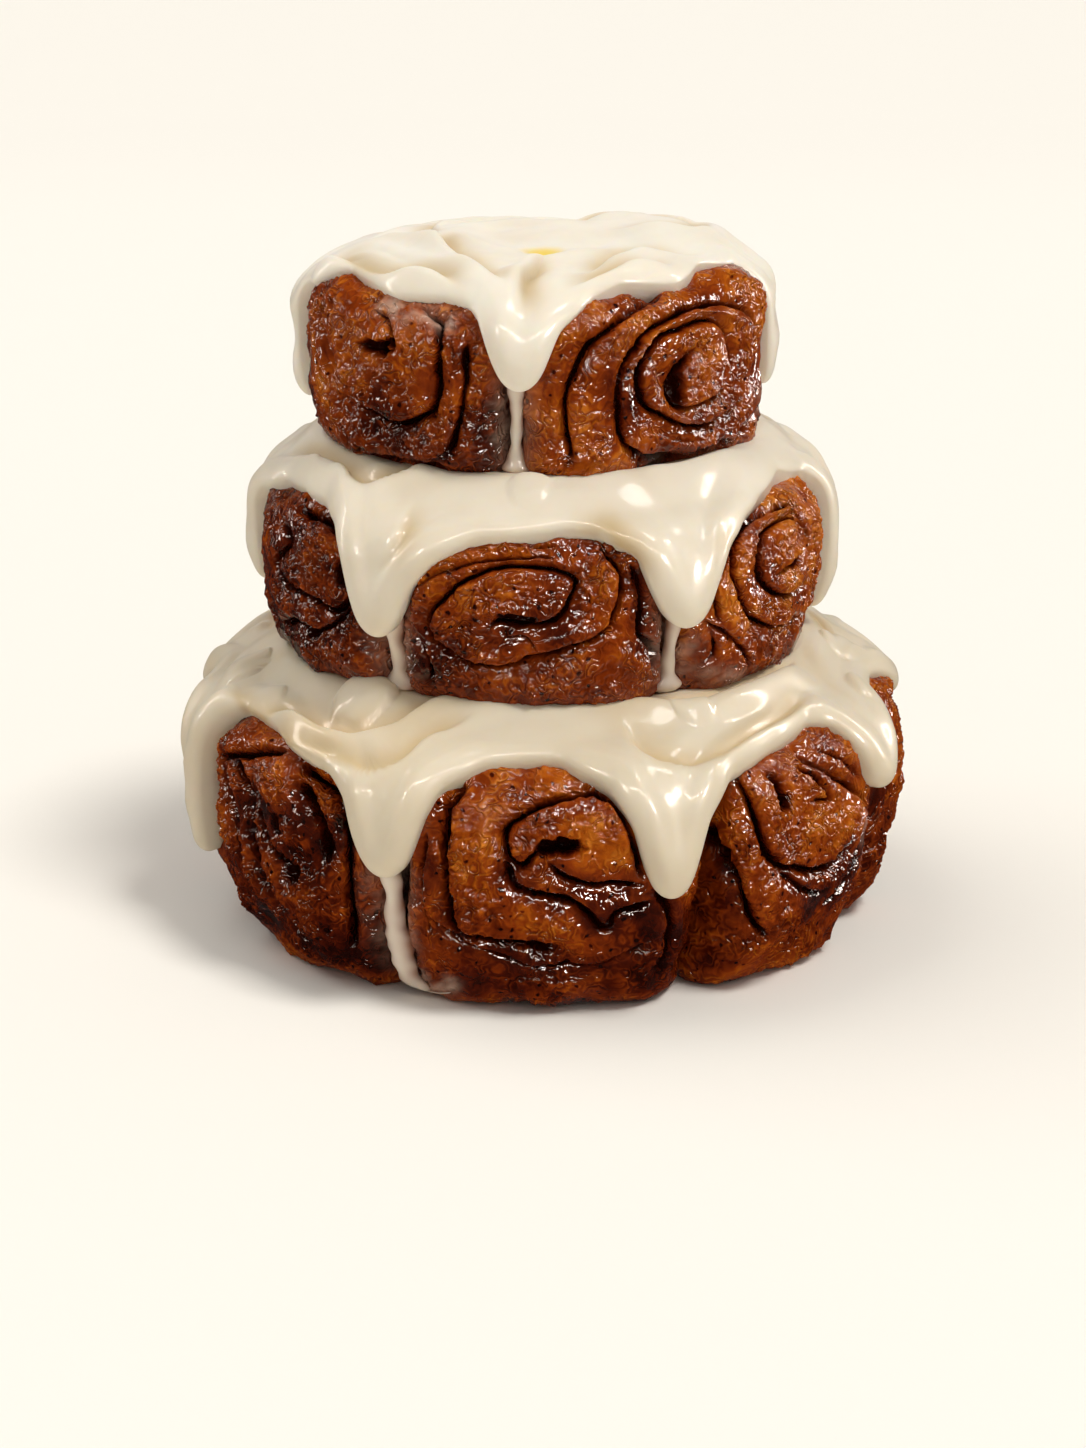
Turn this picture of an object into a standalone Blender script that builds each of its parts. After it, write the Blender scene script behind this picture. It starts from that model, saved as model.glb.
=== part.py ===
"""Three-tier celebration cake of cinnamon rolls, under poured cream icing.

Each tier is a ring of rolls that lie with their swirl facing outwards. A roll is a wedge of
dough that reaches the tier's middle, so the uncut cake is solid. A layer of icing covers
each tier, carries the next one, and runs over the edge in drips.

The origin is the middle of the underside, +Z is up, and the front faces -Y. Lengths are in
millimetres up to the meshes, which are in metres. Angles are in degrees about a tier's
axis, from the front (0) towards +X (90).
"""
import math
from dataclasses import dataclass

import bmesh
import bpy
import numpy as np

MM = 0.001
SAMPLES = 400             # points of each curve that is measured along its length

# Clearances
GAP = 0.3                 # between neighbours that touch
SKIRT_GAP = 2.2           # between the dough and the icing that hangs over it

# Dough: how square a tier's upper edge and a roll's sides are
EDGE_POWER = 4.5
ROLL_POWER = 7.0
ROLL_COLUMNS = 16
ROLL_ROWS = 6
HEART_SHARE = 0.55        # of the tier's radius, where a roll's heart lies
HEART_REACH = 3.0         # further from the heart than any surface, in the rays' own lengths
HALVINGS = 40             # of the search for the surface along a ray
TINY = 0.001
WELD = 0.01               # joins a groove cutter's caps to its tube

# The groove that winds between a roll's layers
GROOVE_RADIUS = 2.9
GROOVE_SINK = 1.7         # how far the groove's centre line lies under the surface
GROOVE_STEP = 3.1         # between points, times the square root of the way from the eye
GROOVE_MARGIN = 5.0       # what the groove leaves bare at the roll's rim
GROOVE_SQUARENESS = 4.0   # how closely the outermost turn follows the rim's corners
EYE_TURN = 0.45           # how much of a turn's width lies inside the groove's start

# Icing
DRIP_COLUMNS = (-1.5, -0.5, 0.5, 1.5)     # of the mesh, in a drip's half widths
ARCH_STEP = 20.0          # how far apart the columns are between drips, at most
HINGE_LENGTH = 9.0        # from where the rows of all columns part, to the arches
OUTER_TOP_ROWS = 3        # from the middle to the hinge
OUTER_DROP_ROWS = 2       # from there to the rounded edge
LIP_ROWS = 2
INNER_TOP_ROWS = 2
INNER_DROP_ROWS = 3
ICING_ROWS = OUTER_TOP_ROWS + OUTER_DROP_ROWS + LIP_ROWS + INNER_TOP_ROWS + INNER_DROP_ROWS
FLAT_SHARE = 0.002        # curvature that spaces the outer rows on the flat
INNER_FLAT_SHARE = 0.0001
LIP_THICKNESS = 5.2       # of the skirt, out from the dough
LIP_ROUND = 5.0           # how far from its edge the skirt thins
DRIP_POWER = 3.2          # how square a drip's tip is
LEVEL_WIDTH = 9.0         # over which a layer slopes from its level part to its skirt
SWIRL_HEIGHT = 1.1        # of the spread marks on the topmost icing
SWIRL_PITCH = 27.0
SWIRL_FADE = 12.0         # over which the marks start at the middle and end at the rim
RIM_SHARE = 0.9           # of the tier's radius, where the topmost icing's level part ends

DOUGH_BROWN = (0.23, 0.065, 0.018, 1.0)
DOUGH_ROUGHNESS = 0.35
ICING_CREAM = (0.88, 0.80, 0.64, 1.0)
ICING_ROUGHNESS = 0.3


@dataclass(frozen=True)
class Roll:
    """One roll of a tier, seen from outside: where its swirl starts and how it winds."""
    eye: tuple            # across and up from the middle of the roll's face, at its belly
    turns: float          # of the groove, from the eye to the roll's rim
    hand: int             # 1 winds outwards anticlockwise, -1 clockwise
    start: float          # direction in which the groove leaves the eye


@dataclass(frozen=True)
class Tier:
    """One tier: its drum of dough, its rolls and the icing on it."""
    name: str
    centre_x: float
    foot: float           # height of the underside
    height: float
    belly: float          # height of the widest place above the foot
    radius: float         # at the belly
    foot_radius: float
    icing: float          # thickness of the layer on top
    stand_radius: float   # how far out the layer is level, to carry the next tier
    arch: float           # height above the foot of the icing's edge between drips
    seams: tuple          # angles at which one roll meets the next
    rolls: tuple          # the first lies between the first two seams
    drips: tuple          # angle, height of the tip above the foot, half width

    @property
    def top(self):
        return self.foot + self.height


BASE_SEAMS = (-27.8, 27.7, 69.5, 123.4, 177.3, 231.2, 285.0)
BASE_ROLLS = (
    Roll((3, 11), 1.9, 1, 150), Roll((-11, 13), 1.6, 1, 160), Roll((-3, 4), 1.2, 1, 40),
    Roll((4, 2), 1.2, -1, 110), Roll((-2, 6), 1.1, 1, 200), Roll((2, -1), 1.2, 1, 300),
    Roll((7, -3), 1.6, 1, 80),
)
BASE_DRIPS = (
    (-77, 20, 11), (-26.6, 41, 9.5), (18.4, 37.5, 9), (65.5, 48.5, 9),
    (101, 58, 11), (124, 33, 9), (146, 56, 9), (166, 26, 10), (199, 52, 9),
    (232, 38, 9), (256, 57, 10),
)
MIDDLE_SEAMS = (-34.0, 29.0, 88.4, 147.8, 207.2, 266.6)
MIDDLE_ROLLS = (
    Roll((-3.5, 0), 1.7, 1, 0), Roll((-2, 5), 1.5, 1, 60), Roll((1, 1), 1.2, -1, 90),
    Roll((-2, 2), 1.2, 1, 210), Roll((3, 0), 1.1, 1, 320), Roll((6, 2), 1.4, -1, 30),
)
MIDDLE_DRIPS = (
    (-95, 13, 8), (-34, 19.5, 9), (28.4, 24, 10), (93, 6, 9), (121, 31, 8),
    (148, 15, 9), (178, 34, 9), (207, 17, 9), (236, 33, 10),
)
TOP_SEAMS = (-5.0, 85.0, 175.0, 265.0)
TOP_ROLLS = (
    Roll((4, -1), 1.8, 1, 160), Roll((-2, 0), 1.2, -1, 40), Roll((3, 1), 1.2, 1, 250),
    Roll((13, 5), 1.4, -1, 80),
)
TOP_DRIPS = (
    (-93, 7, 7), (-2.6, 27, 8), (88, 12, 8), (128, 32, 9), (174, 20, 8), (222, 30, 9),
)

BASE = Tier("base", 1.0, 0.0, 77.5, 42.0, 104.5, 82.0, 5.4, 76.0, 71.0,
            BASE_SEAMS, BASE_ROLLS, BASE_DRIPS)
MIDDLE = Tier("middle", -1.0, BASE.top + BASE.icing + 2 * GAP, 55.5, 28.5, 83.0, 72.0, 5.9, 63.0,
              49.0, MIDDLE_SEAMS, MIDDLE_ROLLS, MIDDLE_DRIPS)
TOP = Tier("top", -3.6, MIDDLE.top + MIDDLE.icing + 2 * GAP, 53.0, 27.5, 67.0, 59.0, 6.6, 0.0,
           49.5, TOP_SEAMS, TOP_ROLLS, TOP_DRIPS)
TIERS = (BASE, MIDDLE, TOP)


def wall_radius(tier, height):
    """Radius of a tier's drum at a height: a squared arc above the belly, an oval one below."""
    above = np.clip((height - tier.foot - tier.belly) / (tier.height - tier.belly), 0, 1)
    below = np.clip((tier.foot + tier.belly - height) / tier.belly, 0, 1)
    upper = tier.radius * (1 - above ** EDGE_POWER) ** (1 / EDGE_POWER)
    lower = tier.foot_radius + (tier.radius - tier.foot_radius) * np.sqrt(1 - below ** 2)
    return np.where(height > tier.foot + tier.belly, upper, lower)


def outline(tier):
    """The drum's outline from the middle of its top to its foot.

    Returns the path length, the radius and height there, and the outward normal.
    """
    turn = np.linspace(math.pi / 2, 0, SAMPLES)
    upper_r = tier.radius * np.cos(turn).clip(0) ** (2 / EDGE_POWER)
    upper_z = tier.belly + (tier.height - tier.belly) * np.sin(turn).clip(0) ** (2 / EDGE_POWER)
    turn = np.linspace(0, math.pi / 2, SAMPLES)[1:]
    lower_r = tier.foot_radius + (tier.radius - tier.foot_radius) * np.cos(turn)
    lower_z = tier.belly * (1 - np.sin(turn))
    radius = np.concatenate([upper_r, lower_r])
    height = np.concatenate([upper_z, lower_z]) + tier.foot
    path = np.concatenate([[0], np.cumsum(np.hypot(np.diff(radius), np.diff(height)))])
    out_r, out_z = -np.gradient(height, path), np.gradient(radius, path)
    length = np.hypot(out_r, out_z)
    return path, radius, height, out_r / length, out_z / length


def place(tier, radius, angle, height):
    """World points, in metres, of places given about the tier's axis."""
    x = tier.centre_x + radius * np.sin(angle)
    y = -radius * np.cos(angle)
    return np.stack(np.broadcast_arrays(x, y, height), axis=-1) * MM


def roll_span(tier, index):
    """Middle angle and half width of one roll, in radians."""
    first = tier.seams[index]
    second = tier.seams[(index + 1) % len(tier.seams)]
    width = (second - first) % 360
    return math.radians(first + width / 2), math.radians(width / 2)


def ball(columns, rows):
    """A sphere's mesh, with each vertex's column and row counted from its upper pole."""
    mesh = bmesh.new()
    bmesh.ops.create_uvsphere(mesh, u_segments=columns, v_segments=rows, radius=1.0)
    points = np.array([vertex.co for vertex in mesh.verts], dtype=float)
    row = np.rint(np.arccos(points[:, 2].clip(-1, 1)) * rows / math.pi).astype(int)
    column = np.rint(np.arctan2(points[:, 1], points[:, 0]) * columns / (2 * math.pi)).astype(int)
    return mesh, column % columns, row


def finish(mesh, points, name, material, collection):
    """Move the mesh's vertices to their points and make the object.

    The points keep the ball's handedness, so that its faces still point outwards.
    """
    for vertex, point in zip(mesh.verts, points):
        vertex.co = point
    data = bpy.data.meshes.new(name)
    mesh.to_mesh(data)
    mesh.free()
    data.shade_smooth()
    data.materials.append(material)
    part = bpy.data.objects.new(name, data)
    collection.objects.link(part)
    return part


def roll_points(tier, index, columns, rows, column, row):
    """Where a ball's vertices meet the roll's surface.

    A roll is the part of the drum between two seams, with its corners rounded: the seventh
    powers of the distance from its middle plane and of that from the axis, each as a
    fraction of what the roll has there, add up to 1. Each vertex slides out from the roll's
    heart along its own ray until it gets there, or to the roll's foot.
    """
    middle, half = roll_span(tier, index)
    polar = row * math.pi / rows
    turn = column * 2 * math.pi / columns
    half_width = tier.radius * half
    outward = np.cos(polar) * tier.radius / 2
    across = np.sin(polar) * np.cos(turn) * half_width
    upward = np.sin(polar) * np.sin(turn) * tier.height / 2
    heart_radius = tier.radius * HEART_SHARE
    heart_height = tier.foot + tier.height / 2

    def measure(reach):
        out = heart_radius + reach * outward
        side = reach * across
        radius = np.hypot(out, side)
        angle = np.arctan2(side, out)
        height = heart_height + reach * upward
        half_there = np.maximum(half - GAP / 2 / np.maximum(radius, GAP), TINY)
        share = (np.abs(angle) / half_there) ** ROLL_POWER
        wall = np.maximum(wall_radius(tier, np.clip(height, tier.foot, tier.top)), TINY)
        share = share + (radius / wall) ** ROLL_POWER
        inside = (share < 1) & (height > tier.foot) & (height < tier.top)
        return inside, radius, middle + angle, height

    low, high = np.zeros(len(row)), np.full(len(row), HEART_REACH)
    for _ in range(HALVINGS):
        reach = (low + high) / 2
        inside = measure(reach)[0]
        low = np.where(inside, reach, low)
        high = np.where(inside, high, reach)
    _, radius, angle, height = measure(low)
    height = np.where(height < tier.foot + TINY, tier.foot, height)
    return place(tier, radius, angle, height)


def groove_points(tier, index):
    """Centre line of the groove between a roll's layers.

    It is a spiral about the eye whose turns are evenly spaced in each direction, and whose
    last one runs along the rim of the roll's face.
    """
    roll = tier.rolls[index]
    middle, half = roll_span(tier, index)
    turn = np.linspace(0, roll.turns, SAMPLES)
    direction = math.radians(roll.start) + roll.hand * 2 * math.pi * turn
    right, up = np.cos(direction), np.sin(direction)
    to_side = tier.radius * half - GROOVE_MARGIN - roll.eye[0] * np.sign(right)
    to_top = tier.height - tier.belly - GROOVE_MARGIN - roll.eye[1]
    to_foot = tier.belly - GROOVE_MARGIN + roll.eye[1]
    to_end = np.where(up > 0, to_top, to_foot)
    nearness = np.abs(right / to_side) ** GROOVE_SQUARENESS + np.abs(up / to_end) ** GROOVE_SQUARENESS
    distance = nearness ** (-1 / GROOVE_SQUARENESS) * (EYE_TURN + turn) / (EYE_TURN + roll.turns)
    right, up = distance * right, distance * up
    step = np.hypot(np.diff(right), np.diff(up)) / np.sqrt(distance[1:])
    walked = np.concatenate([[0], np.cumsum(step)])
    stops = np.linspace(0, walked[-1], round(walked[-1] / GROOVE_STEP) + 1)
    angle = (roll.eye[0] + np.interp(stops, walked, right)) / tier.radius
    height = tier.foot + tier.belly + roll.eye[1] + np.interp(stops, walked, up)
    share = (1 - (np.abs(angle) / half) ** ROLL_POWER) ** (1 / ROLL_POWER)
    radius = wall_radius(tier, height) * share - GROOVE_SINK
    return place(tier, radius, middle + angle, height)


def groove_cutter(points, name, collection):
    """A thin tube along the groove, as a mesh."""
    curve = bpy.data.curves.new(name, "CURVE")
    curve.dimensions = "3D"
    curve.bevel_depth = GROOVE_RADIUS * MM
    curve.bevel_resolution = 0
    curve.use_fill_caps = True
    spline = curve.splines.new("POLY")
    spline.points.add(len(points) - 1)
    for target, point in zip(spline.points, points):
        target.co = (*point, 1.0)
    tube = bpy.data.objects.new(name + "_line", curve)
    collection.objects.link(tube)
    evaluated = tube.evaluated_get(bpy.context.evaluated_depsgraph_get())
    data = bpy.data.meshes.new_from_object(evaluated)
    mesh = bmesh.new()
    mesh.from_mesh(data)
    bmesh.ops.remove_doubles(mesh, verts=mesh.verts, dist=WELD * MM)
    bmesh.ops.recalc_face_normals(mesh, faces=mesh.faces)
    mesh.to_mesh(data)
    mesh.free()
    cutter = bpy.data.objects.new(name, data)
    cutter.matrix_world = tube.matrix_world
    collection.objects.link(cutter)
    bpy.data.objects.remove(tube)
    cutter.hide_render = True
    cutter.display_type = "WIRE"
    return cutter


def make_roll(tier, index, material, parts, cutters):
    """One roll: a rounded wedge of dough with the swirl's groove cut into its face."""
    name = f"roll_{tier.name}_{index + 1}"
    mesh, column, row = ball(ROLL_COLUMNS, ROLL_ROWS)
    points = roll_points(tier, index, ROLL_COLUMNS, ROLL_ROWS, column, row)
    roll = finish(mesh, points, name, material, parts)
    cutter = groove_cutter(groove_points(tier, index), name + "_groove", cutters)
    cut = roll.modifiers.new("swirl", "BOOLEAN")
    cut.operation = "DIFFERENCE"
    cut.object = cutter
    return roll


def edge_path(tier, angle, path, height):
    """Path length at which the icing ends, at each angle.

    It ends at the arches' height, and each drip adds its own reach, which falls off to
    both sides as one over one plus a power of the distance in half widths.
    """
    def path_at(above_foot):
        return np.interp(-(tier.foot + above_foot), -height, path)

    level = path_at(tier.arch)
    edge = np.full(np.shape(angle), level)
    for degrees, tip, half_width in tier.drips:
        away = (angle - math.radians(degrees) + math.pi) % (2 * math.pi) - math.pi
        away = np.abs(away) * tier.radius / half_width
        edge = edge + (path_at(tip) - level) / (1 + away ** DRIP_POWER)
    return edge


def icing_angles(tier):
    """The columns' angles: some across each drip, and others spread over the arches."""
    drips = [(math.radians(degrees), width / tier.radius) for degrees, _, width in tier.drips]
    first_degrees, first_width = drips[0]
    followers = drips[1:] + [(first_degrees + 2 * math.pi, first_width)]
    angles = []
    for (drip, width), (follower, follower_width) in zip(drips, followers):
        angles += [drip + side * width for side in DRIP_COLUMNS]
        end = follower + DRIP_COLUMNS[0] * follower_width
        count = math.ceil((end - angles[-1]) / math.radians(ARCH_STEP))
        angles += list(np.linspace(angles[-1], end, count + 1)[1:-1])
    return np.array(angles)


def row_paths(path, walk, row, hinge, end, top_rows, drop_rows):
    """Path lengths of rows that run to the hinge and on to the end, spaced by the walk."""
    at_hinge = np.interp(hinge, path, walk)
    at_end = np.interp(end, path, walk)
    top_share = np.clip(row / top_rows, 0, 1)
    drop_share = np.clip((row - top_rows) / drop_rows, 0, 1)
    return np.interp(at_hinge * top_share + (at_end - at_hinge) * drop_share, walk, path)


def icing_points(tier, columns, column, row):
    """Where a ball's vertices lie on a layer of icing.

    The outer rows run from the middle of the top, over the edge of the drum, to the
    skirt's edge, at the icing's thickness from the dough. The inner rows go back
    to the middle just clear of the dough. Near its edge the skirt is a quarter circle.
    Rows crowd where the drum bends, so that each face strays equally far from it.
    """
    path, radius, height, out_r, out_z = outline(tier)
    angle = columns[column]
    edge = edge_path(tier, angle, path, height)
    hinge = np.interp(-(tier.foot + tier.arch), -height, path) - HINGE_LENGTH
    bend = np.abs(np.gradient(np.unwrap(np.arctan2(out_z, out_r)), path))
    outer_walk = np.cumsum(np.sqrt(bend + FLAT_SHARE) * np.gradient(path))
    inner_walk = np.cumsum(np.sqrt(bend + INNER_FLAT_SHARE) * np.gradient(path))
    skin_rows = OUTER_TOP_ROWS + OUTER_DROP_ROWS
    on_skin = row_paths(path, outer_walk, row, hinge, edge - LIP_ROUND,
                        OUTER_TOP_ROWS, OUTER_DROP_ROWS)
    on_lip = edge - LIP_ROUND * (1 - (row - skin_rows) / LIP_ROWS) ** 2
    beneath = row_paths(path, inner_walk, ICING_ROWS - row, hinge, edge,
                        INNER_TOP_ROWS, INNER_DROP_ROWS)
    outer = row <= skin_rows + LIP_ROWS
    walked = np.where(outer, np.where(row <= skin_rows, on_skin, on_lip), beneath)
    to_edge = np.clip((edge - walked) / LIP_ROUND, 0, 1)
    skirt = SKIRT_GAP + (LIP_THICKNESS - SKIRT_GAP) * np.sqrt(1 - (1 - to_edge) ** 2)
    offset = np.where(outer, skirt, SKIRT_GAP)
    base_r = np.interp(walked, path, radius)
    base_z = np.interp(walked, path, height)
    icing_r = base_r + offset * np.interp(walked, path, out_r)
    icing_z = base_z + offset * np.interp(walked, path, out_z)
    layer_top = tier.top + GAP + tier.icing
    if tier is TIERS[-1]:
        swirl = np.sin(2 * math.pi * icing_r / SWIRL_PITCH - angle)
        slope = 1 - np.clip((tier.radius * RIM_SHARE - icing_r) / SWIRL_FADE, 0, 1)
        layer_top = layer_top + SWIRL_HEIGHT * swirl * np.clip(icing_r / SWIRL_FADE, 0, 1)
    else:
        slope = np.clip((icing_r - tier.stand_radius) / LEVEL_WIDTH, 0, 1)
        slope = slope * slope * (3 - 2 * slope)
    outer_z = layer_top + (icing_z - layer_top) * slope
    # beneath, the layer touches the dough's flat top and draws away from its rounded edge
    drop = np.clip((tier.top - base_z) / SKIRT_GAP, 0, 1)
    inner_z = np.where(drop < 1, base_z + GAP + (SKIRT_GAP - GAP) * drop, icing_z)
    return place(tier, icing_r, angle, np.where(outer, outer_z, inner_z))


def make_icing(tier, material, parts):
    """One layer of icing with its skirt of drips, from a ball's mesh."""
    columns = icing_angles(tier)
    mesh, column, row = ball(len(columns), ICING_ROWS)
    points = icing_points(tier, columns, column, row)
    return finish(mesh, points, f"icing_{tier.name}", material, parts)


def make_material(name, colour, roughness):
    material = bpy.data.materials.new(name)
    material.use_nodes = True
    shader = material.node_tree.nodes["Principled BSDF"]
    shader.inputs["Base Color"].default_value = colour
    shader.inputs["Roughness"].default_value = roughness
    shader.inputs["Metallic"].default_value = 0.0
    return material


def main():
    for old in list(bpy.data.objects):
        bpy.data.objects.remove(old)
    parts = bpy.data.collections.new("celebration_cake")
    cutters = bpy.data.collections.new("groove_cutters")
    bpy.context.scene.collection.children.link(parts)
    bpy.context.scene.collection.children.link(cutters)
    dough = make_material("glazed_dough", DOUGH_BROWN, DOUGH_ROUGHNESS)
    icing = make_material("cream_icing", ICING_CREAM, ICING_ROUGHNESS)
    for tier in TIERS:
        for index in range(len(tier.rolls)):
            make_roll(tier, index, dough, parts, cutters)
        make_icing(tier, icing, parts)


main()
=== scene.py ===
"""Looks of a three-tier celebration cake of cinnamon rolls under poured cream icing.

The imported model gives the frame. Every roll and every layer of icing is replaced by a finer
surface in the same place, and thin trickles and smears of icing are added. Lengths are in
millimetres up to the meshes, which are in metres. Angles are in degrees about a tier's axis,
from the front (0) towards +X (90). A roll's face has its own coordinates: across, along the
tier's wall, and up, both from the middle of the roll's belly.
"""
import math
from collections import namedtuple

import bpy
import numpy as np
from bpy.props import FloatProperty, FloatVectorProperty, PointerProperty
from bpy.types import Operator, Panel, PropertyGroup
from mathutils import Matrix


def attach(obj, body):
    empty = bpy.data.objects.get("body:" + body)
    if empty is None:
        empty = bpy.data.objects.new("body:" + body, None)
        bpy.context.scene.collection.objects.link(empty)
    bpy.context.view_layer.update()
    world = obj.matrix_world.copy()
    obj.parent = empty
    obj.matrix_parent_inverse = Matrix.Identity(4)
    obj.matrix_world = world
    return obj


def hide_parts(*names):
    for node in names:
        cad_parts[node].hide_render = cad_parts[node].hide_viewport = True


bl_info = {
    "name": "Cinnamon roll celebration cake",
    "version": (1, 0, 0),
    "blender": (4, 5, 0),
    "location": "3D View > Sidebar > Cake",
    "description": "Tiers of glazed cinnamon rolls with poured cream icing",
    "category": "Add Mesh",
}

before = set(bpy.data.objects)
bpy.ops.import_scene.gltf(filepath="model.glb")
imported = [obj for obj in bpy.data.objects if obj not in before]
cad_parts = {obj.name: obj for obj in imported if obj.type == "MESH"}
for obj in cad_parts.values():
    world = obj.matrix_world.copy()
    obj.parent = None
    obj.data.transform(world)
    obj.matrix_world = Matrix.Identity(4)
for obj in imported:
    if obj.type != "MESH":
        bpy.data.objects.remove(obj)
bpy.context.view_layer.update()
MM = 0.001

# A tier's sizes: where its axis lies across, its foot's height, its own height, how high its
# belly is, its radius there and at the foot, the icing's thickness on it, the radius of the
# level part under the next tier, how high its icing's edge arches, the lip's thickness, how
# much painted shade darkens and warms its icing (more on the lower tiers), the angles between
# its rolls, the drips that the edge in front doesn't give (angle, height of the tip, half
# width), and that edge
Tier = namedtuple("Tier", "name centre_x foot height belly radius foot_radius icing stand_radius "
                          "arch lip warm seams drips edge")
# A cut between layers: its width and depth, how far its inner side stands proud, how much
# syrup has gathered in it, and its points on the roll's face
Crease = namedtuple("Crease", "width depth step syrup points")
# A roll: its place round the tier, its eye, whether it is seen in front, how pale its crust is
# (low on the rolls at the left, partly painted shade on that side), its cuts, its holes
# (across, up, width, height, depth), and how far its right side swells
Roll = namedtuple("Roll", "name tier index eye fine tone creases pits swell", defaults=(0.0,))

# The icing's edge as it hangs on the front of each tier: angle and height above the base's foot
BASE_EDGE = (
    (-67, 70.6), (-55, 70.7), (-48, 68.4), (-37, 66), (-32.8, 61), (-30.8, 50), (-29, 44),
    (-26.8, 40.6), (-24.4, 40.8), (-22.4, 44.4), (-21.2, 50), (-19.6, 59), (-17.5, 66.9),
    (-12, 71.3), (-5, 72.3), (1.7, 72.4), (9.4, 67.8), (12.7, 57.8), (14.4, 46), (15.7, 39.4),
    (17.5, 36.4), (19.6, 36.4), (21.4, 39.6), (22.8, 47), (24.6, 58.3), (29.5, 66.9),
    (39, 69.8), (53, 72), (57, 70.4), (58.7, 62), (60.5, 53), (64.5, 49), (68, 52), (70, 60.8),
    (76, 69.6),
)
MIDDLE_EDGE = (
    (-76, 133.6), (-66, 133.9), (-53, 133.6), (-45, 129.9), (-41.6, 123), (-39.4, 111.7),
    (-37.2, 105), (-34.2, 101.8), (-31.2, 102.8), (-28.8, 107.4), (-26, 117.7), (-21.7, 125.5),
    (-14.3, 131.6), (-4.5, 132.8), (3.5, 134), (11.4, 133.4), (18.6, 128.4), (21, 118),
    (24, 109.6), (26.8, 106), (30, 106), (32.8, 109.8), (34.8, 117), (38, 126.4), (45.4, 132),
    (54.8, 134.3), (69.7, 135.3), (84, 133.6),
)
TOP_EDGE = (
    (-76, 189.7), (-69.5, 193.7), (-64, 195.3), (-49, 194.6), (-36, 193), (-25, 194),
    (-19, 193.4), (-14.4, 192.4), (-12.2, 187), (-10, 179.6), (-7.6, 173.4), (-4.2, 170.6),
    (-1, 171.4), (1.8, 175), (3.8, 181), (6.4, 188.3), (15, 194.5), (25, 195.8), (43.6, 194.9),
    (60, 196.3), (76, 194.8),
)

BASE = Tier(
    name="base", centre_x=1.0, foot=0.0, height=77.5, belly=42.0, radius=104.5,
    foot_radius=82.0, icing=5.4, stand_radius=76.0, arch=71.0, lip=4.6, warm=1.0,
    seams=(-27.8, 27.7, 69.5, 123.4, 177.3, 231.2, 285.0),
    drips=((-80, 20, 8.5), (101, 58, 11), (124, 33, 9), (146, 56, 9), (166, 26, 10),
           (199, 52, 9), (232, 38, 9), (256, 57, 10)),
    edge=BASE_EDGE)
MIDDLE = Tier(
    name="middle", centre_x=-1.0, foot=83.5, height=55.5, belly=28.5, radius=83.0,
    foot_radius=72.0, icing=5.9, stand_radius=63.0, arch=49.0, lip=4.2, warm=0.55,
    seams=(-34.0, 29.0, 88.4, 147.8, 207.2, 266.6),
    drips=((-95, 13, 8), (93, 6, 9), (121, 31, 8), (148, 15, 9), (178, 34, 9), (207, 17, 9),
           (236, 33, 10)),
    edge=MIDDLE_EDGE)
TOP = Tier(
    name="top", centre_x=-3.6, foot=145.5, height=53.0, belly=27.5, radius=67.0,
    foot_radius=59.0, icing=6.6, stand_radius=0.0, arch=49.5, lip=3.2, warm=0.0,
    seams=(-5.0, 85.0, 175.0, 265.0),
    drips=((-93, 7, 7), (88, 12, 8), (128, 32, 9), (174, 20, 8), (222, 30, 9)),
    edge=TOP_EDGE)
EDGE_POWER = 4.5          # how square a tier's upper edge is
ROLL_POWER = 7.0          # how square a roll's sides are
GAP = 0.3                 # between neighbouring rolls
HEART_SHARE = 0.55        # of the tier's radius, where a roll's heart lies


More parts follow.
